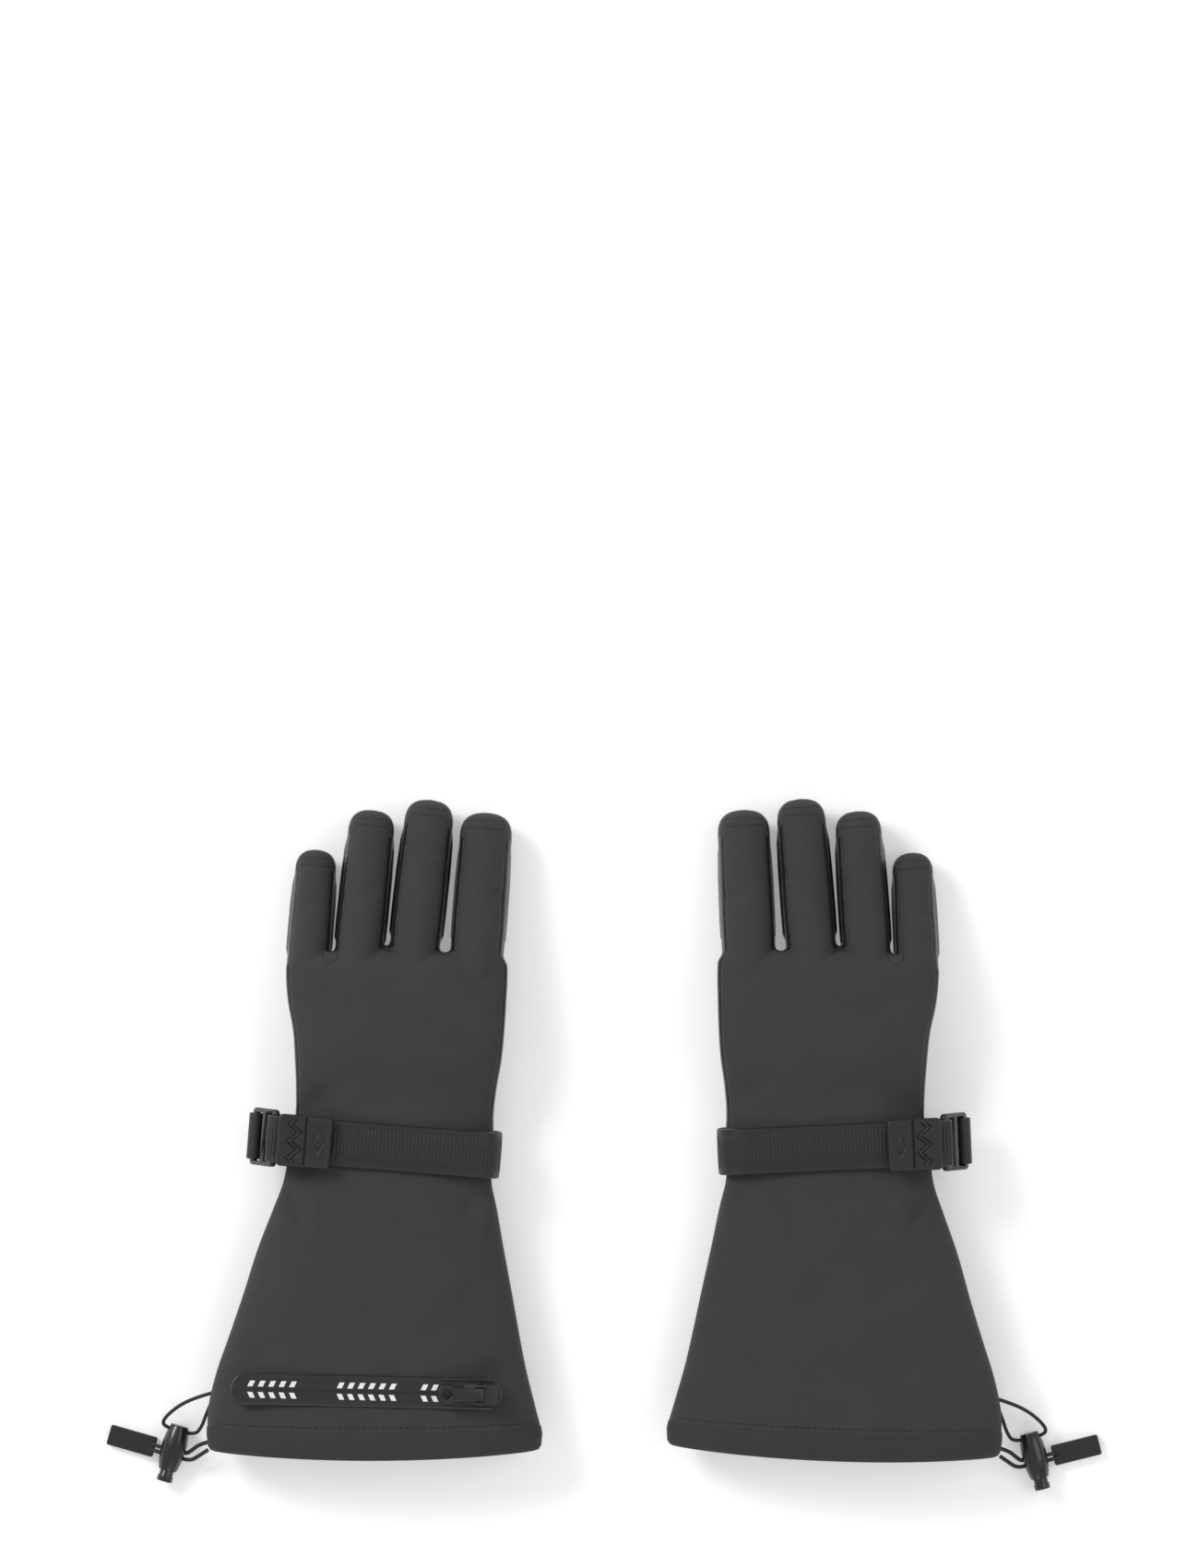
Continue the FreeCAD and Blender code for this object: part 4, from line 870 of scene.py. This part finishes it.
def glove_skin(side):
    centres = np.array([SKIN_POINTS[list(face)].mean(axis=0) for face in SKIN_FACES])
    groups = skin_groups(centres)
    normals = whole_normals(side)
    parts = {number: np.flatnonzero(groups == number) for number in range(7)}
    cuff = skin_piece(side + "_gauntlet_skin", side, parts[0], normals)
    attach(cuff, side + "_gauntlet")
    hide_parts(side + "_gauntlet_shell", side + "_gauntlet_lining")
    hand = skin_piece(side + "_hand_skin", side, parts[1], normals)
    at((0, HAND_BLEND[0], 24), side)
    at((0, HAND_BLEND[1], 24), side)
    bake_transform(hand)
    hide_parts(side + "_back_shell", side + "_palm_shell", side + "_hand_lining")
    for number, finger in enumerate(FINGERS):
        body = "%s_%s_finger" % (side, finger)
        part = skin_piece(body + "_skin", side, parts[2 + number], normals)
        knuckle, across, along, up = finger_axes(finger)
        at(knuckle + along * FINGER_SPLIT, side)
        at(knuckle + along * FINGER_BLEND_END, side)
        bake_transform(part)
        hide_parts(body + "_shell", body + "_lining")
    middle, across, along = thumb_axes()
    thumb = skin_piece(side + "_thumb_skin", side, parts[6], normals)
    at(middle + along * 8, side)
    at(middle + along * 22, side)
    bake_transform(thumb)
    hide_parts(side + "_thumb_shell", side + "_thumb_lining")


def hem_band(side):
    """The turned hem: a soft band that wraps the edge of the cuff."""
    profile = [(HEM_SEAM - 0.4, -0.4), (HEM_SEAM - 1.4, 0.35), (-181, 0.6), (-188.5, 0.5),
               (HEM_EDGE + 0.5, -0.6), (HEM_EDGE, -2.2), (HEM_EDGE + 0.5, -4.0),
               (-188.5, -5.0), (HEM_SEAM - 2, -5.0), (HEM_SEAM - 1.2, -4.2)]
    sections = [hem_curve(body_ring(max(y, -190.9), -out, 200) + (0, min(0, y + 190.9), 0))
                for y, out in profile]
    points, faces = rings(sections + [sections[0]], closed_ends=False)
    points = np.array(points)
    points[:, 2] = np.maximum(points[:, 2], 0.02)
    band = piece(side + "_hem", points, faces, side, SHELL, 60)
    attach(band, side + "_gauntlet")
    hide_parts(side + "_hem_band")


# ---------------------------------------------------------------- stitching

def on_surface(line, lift=0.15):
    """Points of a line dropped onto the glove, and the surface's normals there."""
    found = []
    ups = []
    for x, y in line:
        place, normal, index, distance = SURFACE.ray_cast(Vector((x, y, 90)), Vector((0, 0, -1)))
        if place is not None:
            found.append(tuple(place + normal * lift))
            ups.append(tuple(normal))
    return found, ups


def stitch(name, lines, side, body, long=1.9, gap=2.7):
    dropped = [on_surface(line) for line in lines]
    dropped = [pair for pair in dropped if len(pair[0]) > 2]
    row = beads(name, [pair[0] for pair in dropped], [pair[1] for pair in dropped], side, gap,
                (long, 0.55, 0.4), THREAD)
    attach(row, body)


def finger_gussets(side):
    """The leather side walls of each finger, which fill the room between neighbours."""
    for finger in FINGERS:
        at_knuckle, across, along, up = finger_axes(finger)
        radius, length = FINGER_SIZES[finger][2:4]
        profile = [(FINGER_SPLIT + 2, radius * 0.9), (FINGER_SPLIT + 6, radius * 1.0)]
        profile += [(length * share, radius * wide) for share, wide in
                    ((0.4, 1.01), (0.7, 1.0), (0.9, 0.97), (1.0, 0.9), (1.06, 0.7))]
        points, faces = tapered(at_knuckle - up * GUSSET_DROP, across, along, up, profile,
                                GUSSET_FLAT)
        thing = piece("%s_%s_gusset" % (side, finger), points, faces, side, HIDE, 60)
        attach(thing, "%s_%s_finger" % (side, finger))


def finger_stitching(side):
    """A row round each fingertip cap."""
    for finger in FINGERS:
        knuckle, across, along = finger_axes(finger)[:3]
        radius, length = FINGER_SIZES[finger][2:4]
        cap = length + radius - TIP_CAP - 1.2
        lines = [[(knuckle + along * cap + across * t)[:2]
                  for t in np.linspace(-radius * 0.62, radius * 0.62, 24)]]
        body = "%s_%s_finger" % (side, finger)
        stitch(body + "_cap_stitches", lines, side, body, 1.3, 1.9)


def crotch_stitching(side):
    """A stitched row round each U between two fingers."""
    for number, (x, y) in enumerate(CROTCHES):
        bend = [(x - 4.2, y + 8), (x - 4.2, y + 3), (x - 2.6, y), (x, y - 1.2), (x + 2.6, y),
                (x + 4.2, y + 3), (x + 4.2, y + 8)]
        line = smooth_line([(*point, 0) for point in bend], 0.8)[:, :2]
        stitch("%s_crotch_%d_stitches" % (side, number), [line], side, side + "_hand", 1.2, 1.8)


def hem_stitching(side):
    across = np.linspace(-97, 72, 120)
    row = np.column_stack([across, np.full(120, HEM_SEAM + 1.6), np.zeros(120)])
    stitch(side + "_hem_stitches", [hem_curve(row)[:, :2]], side, side + "_gauntlet", 2.2, 3.2)


# ---------------------------------------------------------------- strap, tail and tab

def ribbon(path, width, thick):
    """A flat band with soft edges that follows a path of x and z in the strap's frame."""
    p = np.array(path, float)
    way = np.gradient(p, axis=0)
    way /= np.linalg.norm(way, axis=1)[:, None]
    out = np.column_stack([-way[:, 1], way[:, 0]])
    half = width / 2
    edge = thick / 2
    outline = [(-half, 0), (-half + edge * 0.6, edge), (-half / 2, edge), (0, edge),
               (half / 2, edge), (half - edge * 0.6, edge), (half, 0), (half - edge * 0.6, -edge),
               (0, -edge), (-half + edge * 0.6, -edge)]
    return [np.array([(x + n * ox, v, z + n * oz) for v, n in outline])
            for (x, z), (ox, oz) in zip(p, out)]


def strap_ring():
    """The path of the webbing round the wrist, from the buckle side back to it."""
    corner = STRAP_CORNER + WEBBING_THICK / 2
    a = STRAP_HALF + WEBBING_THICK / 2 - corner
    middle = (STRAP_LOW + STRAP_HIGH) / 2
    b = (STRAP_HIGH - STRAP_LOW) / 2 + WEBBING_THICK / 2 - corner
    path = []
    for cx, cz, start in ((a, b, 0), (-a, b, 90), (-a, -b, 180), (a, -b, 270)):
        for t in np.linspace(start, start + 90, 16):
            t = math.radians(t)
            path.append((cx + corner * math.cos(t), middle + cz + corner * math.sin(t)))
    return np.array(path + [path[0]])


def even_path(path, spacing):
    p = np.array(path, float)
    far = np.concatenate([[0], np.cumsum(np.linalg.norm(np.diff(p, axis=0), axis=1))])
    steps = np.linspace(0, far[-1], max(4, int(far[-1] / spacing)))
    return np.column_stack([np.interp(steps, far, p[:, k]) for k in range(p.shape[1])])


def rib_rows(name, path, side, body, sign=1.0):
    """Raised ribs across a band."""
    p = even_path(path, 1.0)
    way = np.gradient(p, axis=0)
    way /= np.linalg.norm(way, axis=1)[:, None]
    out = np.column_stack([-way[:, 1], way[:, 0]]) * sign
    lift = WEBBING_THICK / 2 - 0.1
    line = strap_place([(x + ox * lift, 0, z + oz * lift) for (x, z), (ox, oz) in zip(p, out)])
    ups = turned([(ox, 0, oz) for ox, oz in out], (0, 0), -STRAP_TILT)
    rows = beads(name, [line], [ups], side, RIB_PITCH, (1.7, WEBBING - 1.6, 0.8), YARN)
    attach(rows, body)


def wrist_strap(side):
    body = side + "_gauntlet"
    path = even_path(strap_ring(), 2.0)
    points, faces = rings(ribbon(path, WEBBING, WEBBING_THICK))
    band = piece(side + "_strap_band", strap_place(points), faces, side, YARN)
    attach(band, body)
    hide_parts(side + "_wrist_strap")
    rib_rows(side + "_strap_ribs", path, side, body, -1.0)
    x, z = LOWER_BAR
    wrap = [(x + 3.3 * math.cos(t), z + 3.3 * math.sin(t)) for t in np.linspace(0.3, 5.6, 20)]
    loop = [(-57.6, z - 4.5)] + [(x + 5.6, z - 2.6)] + wrap[::-1] + [(x + 6, z + 1.4), (-57.6, z + 1)]
    points, faces = rings(ribbon(even_path(loop, 1.0), WEBBING, 1.4))
    anchor = piece(side + "_anchor_loop", strap_place(points), faces, side, YARN)
    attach(anchor, body)


def strap_tail(side):
    body = side + "_strap_tail"
    x, z = UPPER_BAR
    wrap = [(x + 3.3 * math.cos(t), z + 3.3 * math.sin(t)) for t in np.linspace(2.6, 6.6, 16)]
    path = [(-35, 43.5), (-50, 43.5), (-60, 43.4), (-65, 41.8), (-66.6, 39)] + wrap
    path = smooth_line([(px, 0, pz) for px, pz in path], 0.8)[:, (0, 2)]
    points, faces = rings(ribbon(path, WEBBING, 1.6))
    band = piece(side + "_tail_band", strap_place(points), faces, side, YARN)
    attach(band, body)
    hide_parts(side + "_strap_tail")
    rib_rows(side + "_tail_ribs", path[len(path) // 4:], side, body, -1.0)


def relief(length, width, corner, edge, high, height, cells):
    """A plate with a rounded outline and edge whose top follows height(x, y)."""
    rows = int(width * cells)
    columns = int(length * cells)
    v = np.linspace(-width / 2, width / 2, rows + 1)
    over = np.maximum(0, np.abs(v) - (width / 2 - corner))
    reach = length / 2 - corner + np.sqrt(np.maximum(corner ** 2 - over ** 2, 0))
    u = np.linspace(-1, 1, columns + 1)
    x = reach[:, None] * u[None, :]
    y = np.repeat(v[:, None], columns + 1, axis=1)
    inward = np.minimum(reach[:, None] - np.abs(x), width / 2 - np.abs(y))
    inward = np.clip(inward, 0, edge)
    fall = edge - np.sqrt(np.maximum(edge ** 2 - (edge - inward) ** 2, 0))
    z = high - fall + height(x, y) * (inward >= edge * 0.9)
    top = np.column_stack([x.ravel(), y.ravel(), z.ravel()])
    count = len(top)
    points = np.vstack([top, top * (1, 1, 0)])
    wide = columns + 1
    faces = []
    for r in range(rows):
        for c in range(columns):
            a, b, d, e = (r * wide + c, r * wide + c + 1, (r + 1) * wide + c + 1,
                          (r + 1) * wide + c)
            faces.append((a, b, d, e))
            faces.append((a + count, e + count, d + count, b + count))
    rim = [c for c in range(wide)] + [r * wide + columns for r in range(1, rows + 1)]
    rim += [rows * wide + c for c in range(columns - 1, -1, -1)]
    rim += [r * wide for r in range(rows - 1, 0, -1)]
    for a, b in zip(rim, rim[1:] + rim[:1]):
        faces.append((a, a + count, b + count, b))
    return points, faces


def tab_top(x, y):
    """A split groove, a zigzag on the buckle side and a lozenge in a bordered plate."""
    groove = -0.9 * np.exp(-((x - 0.5) / 0.55) ** 2)
    zig = np.abs(((y + 14) / 4.6) % 2 - 1) * 5.4 - 9.6
    lines = np.minimum(np.abs(x - zig), np.abs(x - zig - 3.0))
    zigzag = -0.7 * np.exp(-(lines / 0.45) ** 2) * (x < -1.2) * (x > -12.6) * (np.abs(y) < 11.5)
    border = np.maximum(np.abs(x - 7.4) / 5.2, np.abs(y) / 11.4)
    plate = 0.45 * np.exp(-((border - 1) / 0.08) ** 2) * (x > 1.2)
    ring = (np.abs(x - 7.4) / 3.2 + np.abs(y) / 7.5 - 0.8) / 0.12
    return groove + zigzag + plate - 0.5 * np.exp(-ring ** 2)


def strap_tab(side):
    middle, base, length, width, high = TAB
    points, faces = relief(length, width, 2.4, 1.2, high - 0.5, tab_top, 4)
    points = points + (middle, 0, base)
    tab = piece(side + "_grip_tab", strap_place(points), faces, side, RUBBER, 60)
    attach(tab, side + "_strap_tail")
    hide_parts(side + "_strap_tab")


# ---------------------------------------------------------------- cords

def cord_curve(name, points, side, thick):
    data = bpy.data.curves.new(name, "CURVE")
    data.dimensions = "3D"
    spline = data.splines.new("NURBS")
    spline.points.add(len(points) - 1)
    for target, point in zip(spline.points, to_pair(points, side)):
        target.co = (*point, 1)
        target.radius = thick / 2 * MM
    spline.order_u = 3
    spline.use_endpoint_u = True
    spline.resolution_u = 12
    data.bevel_depth = 1.0
    data.bevel_resolution = 4
    data.use_fill_caps = True
    data.materials.append(BRAID)
    return new_object(name, data)


def spline_length(curve):
    depth = curve.data.bevel_depth
    curve.data.bevel_depth = 0
    graph = bpy.context.evaluated_depsgraph_get()
    mesh = bpy.data.meshes.new_from_object(curve.evaluated_get(graph))
    p = coordinates(mesh)
    curve.data.bevel_depth = depth
    bpy.data.meshes.remove(mesh)
    return float(np.linalg.norm(np.diff(p, axis=0), axis=1).sum())


def cords(side):
    body = side + "_gauntlet"
    barrel = cad_copy(side + "_cord_lock_barrel", side + "_lock_barrel", PLASTIC,
                      body, 0.15)
    plunger = cad_copy(side + "_cord_lock_plunger", side + "_lock_plunger", PLASTIC,
                       side + "_cord_plunger", 0.3)
    spring = cad_copy(side + "_cord_lock_spring", side + "_lock_spring", STEEL,
                      body, 0)
    pull = cad_copy(side + "_cord_pull_tab", side + "_pull_tab", RUBBER, body, 0)
    for number, leg in enumerate(DRAWCORD_LEGS):
        curve = cord_curve("%s_drawcord_leg_%d" % (side, number), leg, side, 2.2)
        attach(curve, body)
        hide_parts(side + "_drawcord")
        at(leg[0], side)
        spline_length(curve)
    curve = cord_curve(side + "_tether_band", TETHER, side, 2.0)
    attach(curve, body)
    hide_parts(side + "_tether")
    at(TETHER[0], side)
    spline_length(curve)


# ---------------------------------------------------------------- zip pocket

def zip_place(points, lift):
    return turned(points, ZIP_AT, ZIP_TILT, lift)


def tape_top(x, y):
    """Two welded flaps that meet in a fine line, inside a raised rim."""
    split = -0.35 * np.exp(-(y / 0.5) ** 2) * (np.abs(x) < ZIP_LONG / 2 - 7)
    rim = 0.3 * np.exp(-((np.abs(y) - 7.4) / 0.5) ** 2)
    crown = 0.35 * np.exp(-(y / 2.2) ** 2)
    return split + rim + crown


def zip_pocket():
    body = "left_gauntlet"
    lift = 44.1
    points, faces = relief(ZIP_LONG, ZIP_WIDE, ZIP_WIDE / 2 - 0.01, 0.5, 0.9, tape_top, 2)
    tape = piece("left_zip_flaps", zip_place(points, lift), faces, "left", TAPE, 60)
    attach(tape, body)
    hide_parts("left_zip_tape")
    coil = np.array([(x, 0, 1.0) for x in np.linspace(-62, 62, 80)])
    teeth = beads("left_zip_coil", [zip_place(coil, lift)], [np.tile((0, 0, 1.0), (80, 1))],
                  "left", 1.25, (0.7, 2.6, 0.7), THREAD)
    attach(teeth, body)
    points = []
    faces = []
    for start, count in ((-64, 5), (-16, 6), (29, 2)):
        for k in range(count):
            for sign in (-1, 1):
                x = start + k * 5.6
                base = len(points)
                outline = [(x, 1.0), (x + 2.7, 1.0), (x + 4.4, 4.6), (x + 1.7, 4.6)]
                for z in (0.85, 1.12):
                    points += [(px, sign * py, z) for px, py in outline]
                faces += [(base, base + 1, base + 2, base + 3),
                          (base + 7, base + 6, base + 5, base + 4)]
                faces += [(base + i, base + 4 + i, base + 4 + (i + 1) % 4, base + (i + 1) % 4)
                          for i in range(4)]
    marks = piece("left_zip_marks", zip_place(points, lift), faces, "left", INK)
    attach(marks, body)
    cad_copy("left_zip_slider", "left_slider", METAL, "left_zip_slider", 0.35)
    cad_copy("left_zip_pull", "left_pull", METAL, "left_zip_pull", 0.3)


# ---------------------------------------------------------------- the pair

for glove in SIDES:
    glove_skin(glove)
    hem_band(glove)
    finger_gussets(glove)
    finger_stitching(glove)
    crotch_stitching(glove)
    hem_stitching(glove)
    wrist_strap(glove)
    strap_tail(glove)
    strap_tab(glove)
    cad_copy(glove + "_strap_buckle", glove + "_buckle_frame", PLASTIC,
             glove + "_buckle", 0.6)
    cords(glove)
zip_pocket()
bpy.data.meshes.remove(SKIN)

# ---------------------------------------------------------------- floor, light, camera


def floor():
    half = 4.0
    corners = [(-half, -half, -0.0005), (half, -half, -0.0005), (half, half, -0.0005),
               (-half, half, -0.0005)]
    ground = new_object("floor", new_mesh("floor", corners, [(0, 1, 2, 3)]))
    ground.data.materials.append(paper_floor())


def light(name, place, extent, power):
    data = bpy.data.lights.new(name, "AREA")
    data.size = extent
    data.energy = power
    lamp = new_object(name, data)
    lamp.location = place
    lamp.rotation_euler = (-Vector(place)).to_track_quat("-Z", "Y").to_euler()


def camera():
    data = bpy.data.cameras.new("camera")
    data.lens = 200
    data.sensor_width = 36
    made = new_object("camera", data)
    made.location = (-0.0027, 0.1878, 4.72)
    bpy.context.scene.camera = made


floor()
light("key", (-1.9, 1.5, 1.9), 1.1, 44)
light("fill", (1.8, 0.4, 2.2), 1.6, 12)
light("low", (0.0, -2.2, 1.4), 1.2, 10)
camera()
world = bpy.data.worlds.new("studio")
world.use_nodes = True
world.node_tree.nodes["Background"].inputs["Color"].default_value = (1, 1, 1, 1)
world.node_tree.nodes["Background"].inputs["Strength"].default_value = 0.5
bpy.context.scene.world = world
bpy.context.scene.view_settings.view_transform = "Standard"
